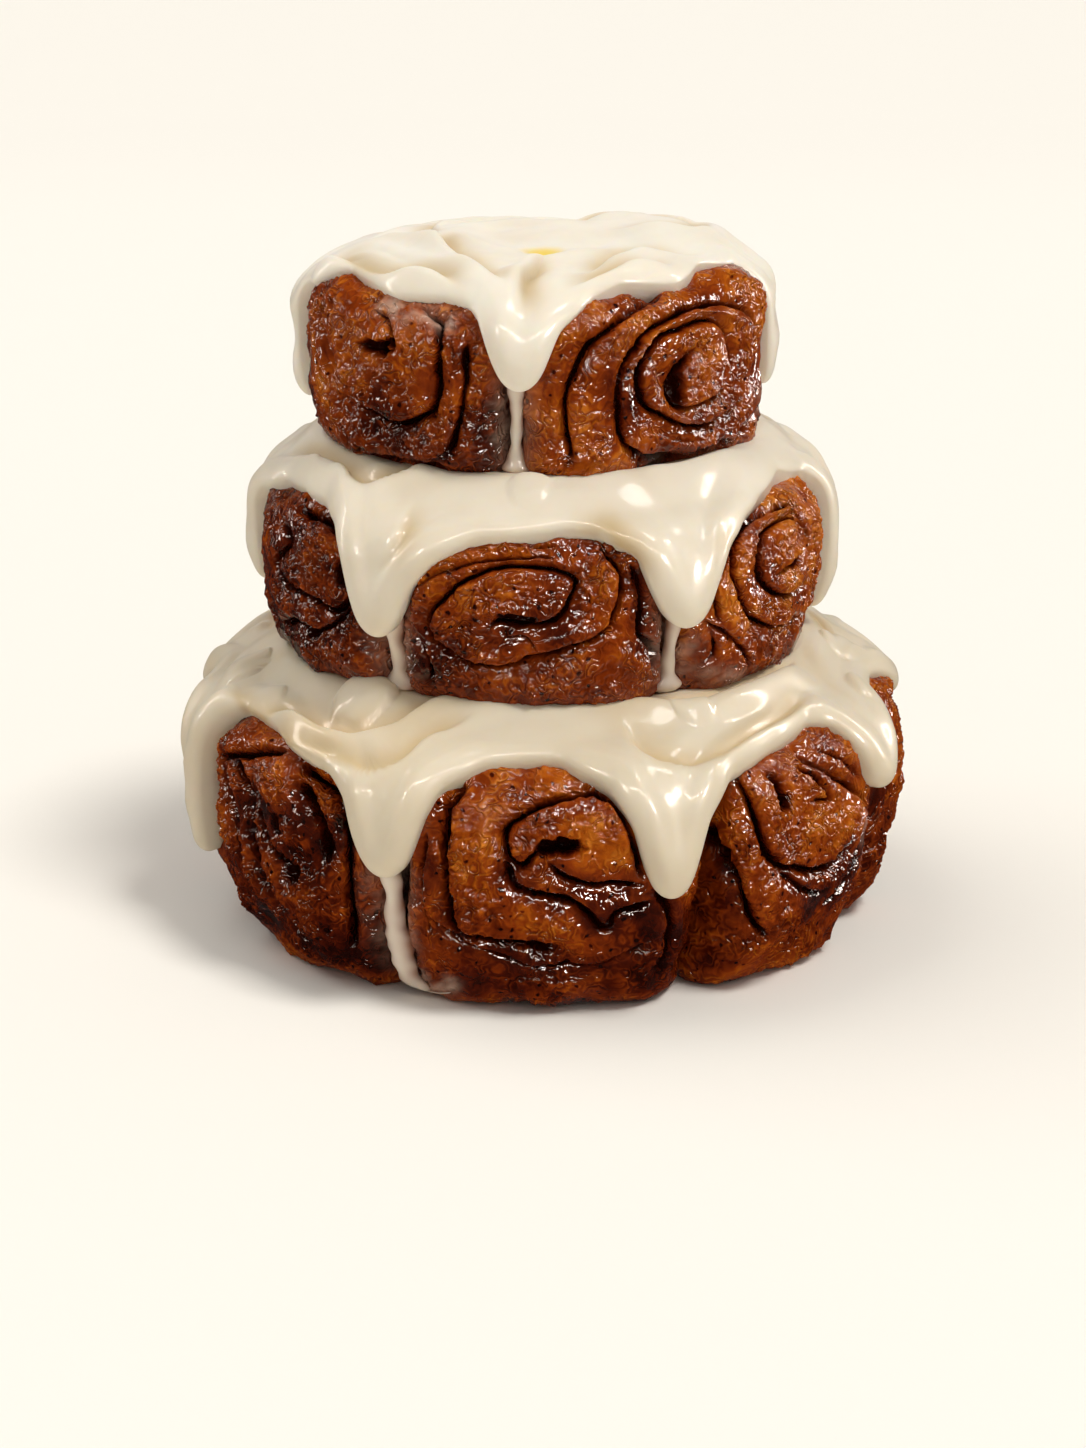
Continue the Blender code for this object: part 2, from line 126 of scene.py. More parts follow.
# Rolls seen in front have their cuts as in the photograph, as face coordinates along each cut.
# The others have one spiral: its turns, which way it winds, and the direction it starts in.
ROLLS = (
    Roll("roll_top_1", TOP, 0, (-2.5, -3), True, 0.57, (
        Crease(0.7, 3.6, 0.9, 0.5, (
            (2, 5), (-4, -2), (-5, -8), (0, -10), (12, -9), (19, -3), (18, 6), (10, 13), (-6, 12),
            (-14, 4), (-14, -7), (-7, -13), (8, -18), (21, -14), (31, -6), (32, 7), (21, 16),
            (5, 18), (-11, 14), (-20, 3), (-22, -10), (-18, -20), (-8, -24), (7, -25), (24, -23),
            (39, -16), (42, -8))),
        Crease(0.8, 3.8, 0.6, 0.4, ((-1, 23), (-20, 18), (-34, 6), (-38, -8), (-36, -23))),
    ), ((-3, -5, 2.0, 4.5, 5.0),), 3.2),
    Roll("roll_top_4", TOP, 3, (11, 6), True, 0.46, (
        Crease(0.5, 1.8, 0.5, 0.0, ((7, 18), (14, 15), (17, 11), (16, 7), (12, 5))),
        Crease(0.8, 3.8, -0.9, 0.1, (
            (25, 20), (31, 15), (31, 0), (30, -7), (22, -14), (9, -14), (-4, -7), (-12, 6),
            (-15, 14))),
        Crease(0.8, 3.4, -0.7, 0.2, (
            (40, 11), (39, -2), (35, -18), (27, -25), (11, -26), (-4, -23), (-14, -12), (-19, 1),
            (-22, 9))),
        Crease(0.5, 1.0, 0.3, 0.2, ((48, -4), (47, -8), (50, -16))),
        Crease(0.5, 1.4, 0.3, 0.1, ((34, 11), (36, 8), (36, 5))),
        Crease(0.4, 1.2, 0.5, 1.0, ((-28, 20), (-28, 0), (-25, -16))),
        Crease(0.4, 1.2, 0.5, 1.0, ((-35, 20), (-35, 0), (-32, -20))),
        Crease(0.4, 1.4, 0.5, 1.0, ((-42, 18), (-42, -4), (-39, -22))),
    ), ((8, 6.6, 4.0, 2.0, 3.0), (11.5, 6.4, 2.6, 2.6, 6.0), (15, 9, 2.0, 1.8, 4.0))),
    Roll("roll_top_2", TOP, 1, (-2, 0), False, 0.45, ((1.7, -1, 40),), ()),
    Roll("roll_top_3", TOP, 2, (3, 1), False, 0.5, ((1.7, 1, 250),), ()),
    Roll("roll_middle_1", MIDDLE, 0, (-3, -1), True, 0.46, (
        Crease(0.7, 3.8, 0.9, 0.1, (
            (-11, -4), (-8, -2), (2, -2), (9, 1), (13, 8), (11, 12), (0, 15), (-11, 13), (-22, 7),
            (-29, -2), (-28, -9), (-18, -15), (-8, -16), (6, -11), (19, -6), (26, 3), (25, 12),
            (21, 19))),
        Crease(0.6, 2.4, 0.5, 0.8, ((29, 14), (34, 4), (32, -6), (38, -12), (39, -20))),
        Crease(0.6, 2.6, 0.6, 0.1, ((-34, 6), (-38, -3), (-35, -10), (-31, -16), (-31, -26))),
        Crease(0.5, 1.6, 0.4, 0.1, ((-38, -9), (-38, -15), (-38, -21))),
        Crease(0.4, 1.2, 0.4, 0.1, ((-6, -3), (-6, -7), (-1, -6), (3, -11))),
        Crease(0.4, 1.6, -0.7, 0.1, ((-34, 6), (-25, 11), (-11, 16), (1, 18), (7, 17))),
    ), ((-3, -0.8, 5.0, 1.5, 4.5),)),
    Roll("roll_middle_2", MIDDLE, 1, (0.5, 4), True, 0.62, (
        Crease(0.6, 3.0, 0.8, 0.1, (
            (-8, 2), (1, 4), (7, 7), (6, 12), (2, 17), (-10, 16), (-15, 8), (-13, 0), (-3, -5),
            (11, -4), (16, 3), (12, 14), (7, 20), (-9, 21), (-24, 15), (-25, 3), (-16, -10),
            (1, -15), (25, -13), (32, -2))),
        Crease(0.5, 2.2, 0.5, 0.6, ((-36, -7), (-27, -12), (-16, -23))),
        Crease(0.5, 1.8, 0.5, 0.5, ((-33, -10), (-31, -17), (-34, -19))),
        Crease(0.5, 2.2, 0.5, 0.4, ((-26, 12), (-33, 2), (-30, -8))),
        Crease(0.4, 1.2, 0.5, 1.0, ((36, 18), (36, -6), (33, -16))),
    ), ((2, 3.5, 2.6, 1.6, 4.0),)),
    Roll("roll_middle_3", MIDDLE, 2, (1, 1), False, 0.5, ((1.7, -1, 90),), ()),
    Roll("roll_middle_4", MIDDLE, 3, (-2, 2), False, 0.45, ((1.6, 1, 210),), ()),
    Roll("roll_middle_5", MIDDLE, 4, (3, 0), False, 0.52, ((1.5, 1, 320),), ()),
    # Its low tone is partly the roll's own colour and partly painted shade on the cake's left
    # side.
    Roll("roll_middle_6", MIDDLE, 5, (18, 4), True, 0.3, (
        Crease(0.7, 3.2, -0.6, 0.1, (
            (2, 19), (18, 19), (30, 13), (29, 5), (32, -1), (25, -6), (12, -4), (10, -1))),
        Crease(0.6, 3.0, 0.6, 0.3, ((11, -5), (3, -5), (-8, 0), (1, 9), (-3, 14))),
        Crease(0.7, 3.0, 0.5, 0.5, ((-9, -18), (8, -14), (17, -15), (31, -5))),
        Crease(0.5, 2.2, 0.5, 0.5, ((17, -13), (17, -18), (19, -22))),
        Crease(0.5, 1.6, 0.5, 1.0, ((-18, 12), (-18, -6), (-13, -13), (-16, -20))),
        Crease(0.5, 1.6, 0.5, 1.0, ((-27, 16), (-27, 0), (-24, -20))),
        Crease(0.4, 1.4, 0.5, 1.0, ((-35, 16), (-35, -2), (-32, -20))),
    ), ((28.5, 5, 1.8, 3.5, 4.5), (13, -15.6, 3.0, 2.0, 4.0), (11, -3.5, 1.6, 1.6, 3.0))),
    Roll("roll_base_1", BASE, 0, (2, 9), True, 0.46, (
        Crease(1.1, 4.6, 0.7, 0.1, (
            (-25, 27), (-29, 21), (-30, 5), (-29, -10), (-25, -17), (-7, -20), (2, -21))),
        Crease(0.9, 4.2, -0.9, 0.2, (
            (-1, 11), (-8, 5), (-12, 8), (-12, 15), (-6, 21), (7, 26), (17, 24), (23, 14),
            (27, 1))),
        Crease(0.9, 3.6, 0.6, 1.0, ((-13, 6), (-8, -2), (6, -5), (16, -14), (19, -10), (29, -7))),
        Crease(0.7, 2.2, 0.5, 1.0, ((0, 6), (9, 1), (27, -1))),
        Crease(0.5, 1.8, 0.5, 0.6, ((-36, -13), (-26, -19), (-10, -25), (13, -27), (27, -19))),
        Crease(0.8, 3.6, 0.5, 0.6, ((30, -4), (35, -12), (36, -21), (34, -33))),
        Crease(0.5, 2.2, 0.5, 0.1, ((-36, 12), (-39, -5), (-36, -19))),
    ), ((0, 9.8, 3.4, 2.4, 6.0), (5, 10.6, 4.0, 2.2, 6.0), (4, -26.2, 1.8, 1.1, 3.0))),
    Roll("roll_base_2", BASE, 1, (-3, 10), True, 0.5, (
        Crease(0.9, 4.0, 0.6, 0.2, ((-20, 25), (-17, 19), (-16, 14))),
        Crease(0.9, 4.2, 0.8, 0.6, (
            (-31, 25), (-27, 12), (-21, -1), (-8, -7), (4, -9), (16, -3), (20, 7), (6, 18),
            (-6, 26))),
        Crease(0.6, 2.2, 0.5, 0.1, ((-10, 25), (3, 12), (-6, 13))),
        Crease(0.9, 4.0, 0.6, 0.4, ((-40, 17), (-35, 1), (-28, -16), (-20, -25))),
        Crease(0.7, 2.2, 0.5, 1.0, ((-18, -5), (-7, -13), (3, -17), (14, -9), (18, -5))),
        Crease(0.4, 1.4, 0.5, 0.3, ((4, 27), (15, 19), (20, 13))),
        Crease(0.4, 1.2, 0.5, 1.0, ((28, 16), (24, -8), (6, -24))),
    ), ((-17, 15.8, 2.2, 2.6, 4.5),)),
    Roll("roll_base_3", BASE, 2, (-3, 4), False, 0.45, ((1.8, 1, 40),), ()),
    Roll("roll_base_4", BASE, 3, (4, 2), False, 0.5, ((1.7, -1, 110),), ()),
    Roll("roll_base_5", BASE, 4, (-2, 6), False, 0.45, ((1.6, 1, 200),), ()),
    Roll("roll_base_6", BASE, 5, (2, -1), False, 0.5, ((1.8, 1, 300),), ()),
    # Its low tone is partly the roll's own colour and partly painted shade on the cake's left
    # side.
    Roll("roll_base_7", BASE, 6, (12, 4), True, 0.33, (
        Crease(1.7, 5.4, 0.6, 0.2, ((-26, 14), (-18, 4), (-15, -5), (-15, -22))),
        Crease(1.7, 5.2, 0.7, 0.3, ((-21, 18), (-10, 10), (-7, -1), (-5, -10), (2, -24))),
        Crease(1.3, 4.0, 0.5, 0.4, ((-8, 14), (-2, 5), (2, -4), (12, -8))),
        Crease(1.8, 5.4, 0.6, 0.1, ((14, 20), (21, 14), (24, 5), (25, -3))),
        Crease(1.3, 5.4, 0.8, 0.1, ((12, 25), (25, 21), (31, 15), (33, 5), (33, -15), (30, -30))),
        Crease(0.9, 3.6, 0.5, 0.3, ((-30, 15), (-17, 20), (-5, 24), (4, 26))),
    ), ((11, -9, 3.6, 2.4, 5.0), (6, 5, 1.8, 3.0, 3.6))),
)

# Where poured icing has folded over itself: how high the fold stands, and its line as angles
# and the way from the middle of the tier's top. Below the line the icing swells, above it dips.
FOLDS = {
    "base": (
        (2.8, ((-77, 93), (-63, 96), (-53, 90), (-41, 92), (-33, 88), (-22, 73), (-2, 68),
               (9, 68), (19, 73), (28, 78), (40, 77), (67, 76))),
        (2.2, ((-57, 97), (-46, 98), (-34, 100), (-29, 100), (-25, 96), (-23, 89), (-19, 84),
               (-14, 78))),
        (2.2, ((14, 80), (17, 93), (26, 97), (37, 92), (48, 89), (60, 85))),
        (1.3, ((88, 84), (110, 82), (135, 88), (160, 82))),
        (1.3, ((170, 90), (192, 82), (215, 84), (240, 90), (262, 84))),
    ),
    "middle": (
        (2.4, ((-88, 73), (-69, 68), (-57, 67), (-43, 69), (-32, 59), (-25, 51))),
        (1.1, ((-29, 68), (-28, 81), (-31, 89), (-32, 93))),
        (2.4, ((-19, 55), (-12, 51), (-1, 49), (12, 52), (34, 59), (51, 58), (66, 60))),
        (0.8, ((3, 78), (12, 76), (16, 82), (20, 88), (23, 93))),
        (0.8, ((43, 77), (36, 83), (31, 86))),
        (1.2, ((95, 66), (125, 70), (150, 62), (180, 68))),
        (1.2, ((188, 66), (215, 60), (240, 68), (265, 70))),
    ),
    "top": (
        (2.5, ((-85, 58), (-67, 55), (-47, 56), (-36, 52), (-25, 55), (-16, 61))),
        (3.2, ((-102, 43), (-78, 34), (-61, 29), (-27, 40), (-11, 53), (-4, 59))),
        (2.8, ((6, 29), (-2, 50), (-2, 63), (0, 70))),
        (2.6, ((14, 48), (33, 39), (51, 38), (68, 52))),
        (2.2, ((7, 58), (17, 53), (34, 48), (50, 53))),
        (1.4, ((100, 20), (94, 40), (110, 52), (128, 50), (150, 44), (166, 30))),
        (1.4, ((-105, 25), (-119, 34), (-150, 46), (-175, 44))),
    ),
}


# ---------------------------------------------------------------- numbers that a user changes

def linear(colour):
    """Scene-linear colour, with alpha, from an sRGB hex value."""
    shares = [int(colour[place:place + 2], 16) / 255 for place in (1, 3, 5)]
    return tuple(c / 12.92 if c <= 0.04045 else ((c + 0.055) / 1.055) ** 2.4
                 for c in shares) + (1.0,)


def size_setting(name, description, millimetres):
    """A length that a user may change."""
    return FloatProperty(name=name, description=description, default=millimetres * MM,
                         min=0.0, unit="LENGTH")


def share_setting(name, description, default, most=2.0):
    """A number without a unit that a user may change."""
    return FloatProperty(name=name, description=description, default=default, min=0.0, max=most)


def colour_setting(name, description, colour):
    """A colour that a user may change, from an sRGB hex value."""
    return FloatVectorProperty(name=name, description=description, size=4, subtype="COLOR",
                               default=linear(colour), min=0.0, max=1.0)


class DoughSettings(PropertyGroup):
    """Sizes and colours of the rolls."""
    crease_depth: share_setting("Crease depth", "Depth of the cuts, against the real cake's", 1.0)
    shoulder: size_setting(
        "Layer rounding", "How far from a cut a layer of dough is rounded", 4.2)
    lump_height: size_setting("Lumps", "Height of the slow unevenness", 1.5)
    wrinkle_height: size_setting("Wrinkles", "Height of the crust's leathery folds", 0.7)
    # the darkest colour, which also paints the shade in the cuts and holes
    dark: colour_setting("Caramel and cut shade", "Darkest crust, in the cuts", "#260601")
    middle: colour_setting("Crust", "Most of the crust", "#873409")
    light: colour_setting("Pale dough", "Where the glaze is thin", "#d47b25")


class IcingSettings(PropertyGroup):
    """Sizes and colours of the icing."""
    lip: share_setting("Lip", "Thickness of the rounded edge, against the real cake's", 1.0)
    lip_round: size_setting("Lip rounding", "How far from its edge the icing is rounded", 5.5)
    fold_height: size_setting("Folds", "Height of the flow folds", 1.18)
    cream: colour_setting("Cream", "Colour of the icing", "#f9f0df")
    shade: colour_setting("Shade", "Colour of the icing in its folds", "#d3ba8e")
    butter: colour_setting("Butter", "Colour of the melted butter on top", "#f2d461")


class StageSettings(PropertyGroup):
    """Floor and lights."""
    floor: colour_setting("Floor", "Colour of the floor", "#faf5eb")
    sky: share_setting("Fill", "Strength of the light from all round", 0.3, 10.0)
    key: share_setting("Key", "Strength of the large soft light", 1.79, 10.0)
    glint: share_setting("Glint", "Strength of the boxes that only shine on wet surfaces", 1.0)


# ---------------------------------------------------------------- noise

def hashed(seed, *cells):
    """A shuffled number from 0 to 255 for each lattice cell."""
    table = np.random.default_rng(seed).permutation(256)
    value = np.zeros(np.shape(cells[0]), dtype=np.int64)
    for cell in cells:
        value = table[(value + cell) & 255]
    return value


def noise(seed, size, x, y, z):
    """Gradient noise, about -1 to 1: each lattice corner has a slope, and they are blended."""
    slopes = np.random.default_rng(seed + 1).normal(size=(256, 3))
    slopes /= np.linalg.norm(slopes, axis=1)[:, None]
    place = [np.asarray(v, dtype=float) / size for v in (x, y, z)]
    cell = [np.floor(v).astype(np.int64) for v in place]
    part = [v - c for v, c in zip(place, cell)]
    ease = [v * v * v * (v * (v * 6 - 15) + 10) for v in part]
    total = 0.0
    for corner in range(8):
        step = (corner & 1, corner >> 1 & 1, corner >> 2 & 1)
        slope = slopes[hashed(seed, *(c + s for c, s in zip(cell, step)))]
        weight = 1.0
        dot = 0.0
        for axis in range(3):
            weight = weight * (ease[axis] if step[axis] else 1 - ease[axis])
            dot = dot + slope[..., axis] * (part[axis] - step[axis])
        total = total + weight * dot
    return total * 1.7


def cell_distances(seed, size, x, y, z):
    """Distances to the nearest and second nearest of one random point per lattice cell."""
    jitter = np.random.default_rng(seed + 1).random((256, 3))
    place = [np.asarray(v, dtype=float) / size for v in (x, y, z)]
    cell = [np.floor(v).astype(np.int64) for v in place]
    first = np.full(np.shape(place[0]), 9.0)
    second = first.copy()
    for step in np.ndindex(3, 3, 3):
        near = [c + s - 1 for c, s in zip(cell, step)]
        spot = jitter[hashed(seed, *near)]
        away = np.sqrt(sum((near[k] + spot[..., k] - place[k]) ** 2 for k in range(3)))
        second = np.minimum(second, np.maximum(first, away))
        first = np.minimum(first, away)
    return first, second


def smooth(value):
    """Eases 0 to 1, level at both ends."""
    value = np.clip(value, 0, 1)
    return value * value * (3 - 2 * value)


def wrapped(angle, middle=0.0):
    """The same angle within half a turn of the middle one."""
    return (angle - middle + math.pi) % (2 * math.pi) - math.pi + middle


def blurred(values, times):
    """Each place's mean with its two neighbours round the cake, taken a number of times."""
    for _ in range(times):
        values = (np.roll(values, 1, axis=-1) + 2 * values + np.roll(values, -1, axis=-1)) / 4
    return values


def way_along(*parts):
    """The way along a line up to each of its points, which are given as one array a part."""
    steps = np.sqrt(sum(np.diff(part) ** 2 for part in parts))
    return np.concatenate([[0], np.cumsum(steps)])


def bell(distance, reach):
    """1 at no distance, and next to nothing at twice the reach."""
    return np.exp(-(distance / reach) ** 2)


# ---------------------------------------------------------------- meshes and shared shapes

def closed_mesh(name, rows, fields):
    """Mesh from a grid of points whose rows are rings, with a pole at each end.

    Each pole is the mean of the ring next to it. Every field becomes an attribute.
    """
    count, across = rows.shape[:2]
    points = np.concatenate([rows[:1].mean(axis=1), rows.reshape(-1, 3), rows[-1:].mean(axis=1)])
    column = np.arange(across)
    after = (column + 1) % across
    ring = 1 + across * np.arange(count - 1)[:, None]
    quads = np.stack([ring + column, ring + across + column, ring + across + after,
                      ring + after], axis=-1).reshape(-1)
    last = 1 + across * (count - 1)
    top = np.stack([np.zeros_like(column), 1 + column, 1 + after], axis=-1).reshape(-1)
    end = np.full_like(column, len(points) - 1)
    bottom = np.stack([last + column, end, last + after], axis=-1).reshape(-1)
    loops = np.concatenate([quads, top, bottom])
    faces = len(quads) // 4
    starts = np.concatenate([np.arange(faces) * 4, len(quads) + 3 * np.arange(2 * across)])
    mesh = bpy.data.meshes.new(name)
    mesh.vertices.add(len(points))
    mesh.vertices.foreach_set("co", (points * MM).astype(np.float32).ravel())
    mesh.loops.add(len(loops))
    mesh.loops.foreach_set("vertex_index", loops.astype(np.int32))
    mesh.polygons.add(len(starts))
    mesh.polygons.foreach_set("loop_start", starts.astype(np.int32))
    mesh.update(calc_edges=True)
    mesh.shade_smooth()
    for key, field in fields.items():
        values = np.concatenate([[field[0].mean()], field.ravel(), [field[-1].mean()]])
        mesh.attributes.new(key, "FLOAT", "POINT").data.foreach_set("value", values)
    return mesh


def add_piece(name, mesh, material, slot, *nodes):
    """Make the object, let it ride on the cake and stand for its nodes."""
    mesh.materials.append(material)
    piece = bpy.data.objects.new(name, mesh)
    bpy.context.scene.collection.objects.link(piece)
    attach(piece, "root")
    if nodes:
        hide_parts(*nodes)
    return piece


def row_normals(rows):
    """Outward normals of a grid of rings: the cross product of the steps along it."""
    down = np.gradient(rows, axis=0)
    along = np.roll(rows, -1, axis=1) - np.roll(rows, 1, axis=1)
    normal = np.cross(down, along)
    return normal / np.maximum(np.linalg.norm(normal, axis=-1, keepdims=True), 1e-9)


def wall_radius(tier, height):
    """Radius of a tier's drum: a squared arc above the belly, an oval one below."""
    above = np.clip((height - tier.foot - tier.belly) / (tier.height - tier.belly), 0, 1)
    below = np.clip((tier.foot + tier.belly - height) / tier.belly, 0, 1)
    upper = tier.radius * (1 - above ** EDGE_POWER) ** (1 / EDGE_POWER)
    lower = tier.foot_radius + (tier.radius - tier.foot_radius) * np.sqrt(1 - below ** 2)
    return np.where(height > tier.foot + tier.belly, upper, lower)


def place(tier, radius, angle, height):
    """Points of places given about the tier's axis."""
    x = tier.centre_x + radius * np.sin(angle)
    y = -radius * np.cos(angle)
    return np.stack(np.broadcast_arrays(x, y, height), axis=-1)


def roll_span(tier, index):
    """Middle angle and half width of one roll, in radians."""
    first = tier.seams[index]
    width = (tier.seams[(index + 1) % len(tier.seams)] - first) % 360
    return math.radians(first + width / 2), math.radians(width / 2)


SLUMP = 3.2               # how far the top tier has sunk at its back left


def slumped(tier, rows):
    """The top tier sinks towards its back left, more the higher a place lies."""
    if tier is TOP:
        back = rows[..., 1] - 0.4 * (rows[..., 0] - tier.centre_x)
        rows[..., 2] -= SLUMP * smooth((back + 8) / 54) * smooth((rows[..., 2] - 172) / 22)
    return rows


# ---------------------------------------------------------------- rolls

FACE_MARGIN = 2.5         # from the face's rim to where the rings turn into the sides
RIM_SAMPLES = 2001
# Columns, rings on the face and rings on the sides of a roll, in front and elsewhere
FRONT_RINGS = (560, 108, 24)
BACK_RINGS = (240, 58, 14)
HALVINGS = 26
SPIRAL_MARGIN = 6.0       # from the face's rim to the end of a spiral
SHOULDER_EDGE = 40.0      # a place farther than this from every cut counts as this far
PLATE = 4.2               # across one plate of crust
PALE_FOOT = 7.5           # height of the strip of paler dough at the foot
SPIRAL_CUT = (0.9, 3.8)   # width and depth of the cut in a roll that has one spiral
FULL_SHADE_DEPTH = 3.2          # a cut this deep or deeper gets the darkest painted shade
SINK = 2.4                # how far a roll's top is lowered where the icing hides it
SINK_FROM = 195.5         # above this height


def roll_seed(roll):
    """Each roll's noise starts from a number of its own, made of its name's letters."""
    return sum(map(ord, roll.name))


def ring_directions(roll, columns, face_rings, side_rings):
    """Rays from a roll's heart: rings round the eye out to the rim, then round to the back.

    On the face a ring is a share of the way from the eye to the rim, a rounded box. The
    columns are evenly spaced along the rim. Past it the ray turns steadily towards the axis.
    Returns the rays as outward, across and upward parts.
    """
    tier = roll.tier
    _, half = roll_span(tier, roll.index)
    fine = np.linspace(0, 2 * math.pi, RIM_SAMPLES)
    side = tier.radius * half - FACE_MARGIN - roll.eye[0] * np.sign(np.cos(fine))
    top = tier.height - tier.belly - FACE_MARGIN - roll.eye[1]
    end = np.where(np.sin(fine) > 0, top, tier.belly - FACE_MARGIN + roll.eye[1])
    reach = (np.abs(np.cos(fine) / side) ** 4 + np.abs(np.sin(fine) / end) ** 4) ** -0.25
    rim = np.stack([reach * np.cos(fine), reach * np.sin(fine)])
    walked = way_along(*rim)
    turn = np.interp(np.arange(columns) / columns * walked[-1], walked, fine)
    reach = np.interp(turn, fine, reach)
    share = np.linspace(0, 1, face_rings + 1)[1:, None]
    across = roll.eye[0] + share * reach * np.cos(turn)
    up = roll.eye[1] + share * reach * np.sin(turn)
    heart = tier.radius * HEART_SHARE
    angle = across / tier.radius
    face = np.stack([tier.radius * np.cos(angle) - heart, tier.radius * np.sin(angle),
                     tier.belly + up - tier.height / 2], axis=-1)
    face /= np.linalg.norm(face, axis=-1, keepdims=True)
    edge = face[-1]
    spin = np.arccos(-edge[:, 0]) * (np.linspace(0, 1, side_rings + 1)[1:-1, None] ** 1.2)
    straight = np.array([-1.0, 0, 0]) + edge[:, :1] * edge
    straight /= np.linalg.norm(straight, axis=-1, keepdims=True)
    back = edge * np.cos(spin)[..., None] + straight * np.sin(spin)[..., None]
    return np.concatenate([face, back])


def roll_surface(roll, rays):
    """Where the rays meet the roll: the seventh powers of the distance from its middle plane
    and of that from the axis, as fractions of what the roll has there, add up to 1. The
    distance along each ray is found by halving."""
    tier = roll.tier
    middle, half = roll_span(tier, roll.index)
    heart = tier.radius * HEART_SHARE
    low, high = np.zeros(rays.shape[:2]), np.full(rays.shape[:2], 2 * tier.radius)
    for _ in range(HALVINGS):
        reach = (low + high) / 2
        out = heart + reach * rays[..., 0]
        side = reach * rays[..., 1]
        height = tier.foot + tier.height / 2 + reach * rays[..., 2]
        radius = np.hypot(out, side)
        angle = np.arctan2(side, out)
        half_there = np.maximum(half - GAP / 2 / np.maximum(radius, GAP), 0.001)
        share = (np.abs(angle) / half_there) ** ROLL_POWER
        wall = wall_radius(tier, np.clip(height, tier.foot, tier.foot + tier.height))
        share = share + (radius / np.maximum(wall, 0.001)) ** ROLL_POWER
        inside = (share < 1) & (height > tier.foot) & (height < tier.foot + tier.height)
        low = np.where(inside, reach, low)
        high = np.where(inside, high, reach)
    return radius, middle + angle, height, angle * tier.radius, height - tier.foot - tier.belly


def spiral(roll, turns, hand, start):
    """A cut that winds from the eye to the rim, evenly spaced in every direction."""
    tier = roll.tier
    _, half = roll_span(tier, roll.index)
    turn = np.linspace(0, turns, round(40 * turns))
    direction = math.radians(start) + hand * 2 * math.pi * turn
    right, up = np.cos(direction), np.sin(direction)
    to_side = tier.radius * half - SPIRAL_MARGIN - roll.eye[0] * np.sign(right)
    to_end = np.where(up > 0, tier.height - tier.belly - SPIRAL_MARGIN - roll.eye[1],
                      tier.belly - SPIRAL_MARGIN + roll.eye[1])
    reach = (np.abs(right / to_side) ** 2.4 + np.abs(up / to_end) ** 2.4) ** (-1 / 2.4)
    reach = reach * (0.28 + turn) / (0.28 + turns)
    reach = reach * (1 + 0.1 * noise(roll_seed(roll), 0.8, turn, 0 * turn, 0 * turn))
    return np.stack([roll.eye[0] + reach * right, roll.eye[1] + reach * up], axis=-1)


def resampled(points, step):
    """A smooth line through the points: a Catmull-Rom curve, cut into even steps."""
    points = np.asarray(points, dtype=float)
    ends = np.concatenate([[2 * points[0] - points[1]], points, [2 * points[-1] - points[-2]]])
    share = np.linspace(0, 1, 9)[:-1, None, None]
    a, b, c, d = (ends[k:len(ends) - 3 + k] for k in range(4))
    line = 0.5 * (2 * b + (c - a) * share + (2 * a - 5 * b + 4 * c - d) * share ** 2
                  + (3 * b - a - 3 * c + d) * share ** 3)
    line = np.concatenate([line.transpose(1, 0, 2).reshape(-1, points.shape[1]), points[-1:]])
    walked = way_along(*line.T)
    stops = np.linspace(0, walked[-1], max(2, round(walked[-1] / step) + 1))
    return np.stack([np.interp(stops, walked, line[:, k]) for k in range(points.shape[1])],
                    axis=-1)


def line_distance(line, a, h):
    """Distance from each place to the line, the way along it there, and the side of it."""
    best = np.full(a.shape, 1e9)
    along = np.zeros(a.shape)
    side = np.zeros(a.shape)
    walked = 0.0
    for (x0, y0), (x1, y1) in zip(line[:-1], line[1:]):
        dx, dy = x1 - x0, y1 - y0
        length = math.hypot(dx, dy)
        share = np.clip(((a - x0) * dx + (h - y0) * dy) / length ** 2, 0, 1)
        away = np.hypot(a - x0 - share * dx, h - y0 - share * dy)
        nearer = away < best
        best = np.where(nearer, away, best)
        along = np.where(nearer, walked + share * length, along)
        side = np.where(nearer, np.sign(dx * (h - y0) - dy * (a - x0)), side)
        walked += length
    return best, along, walked, side


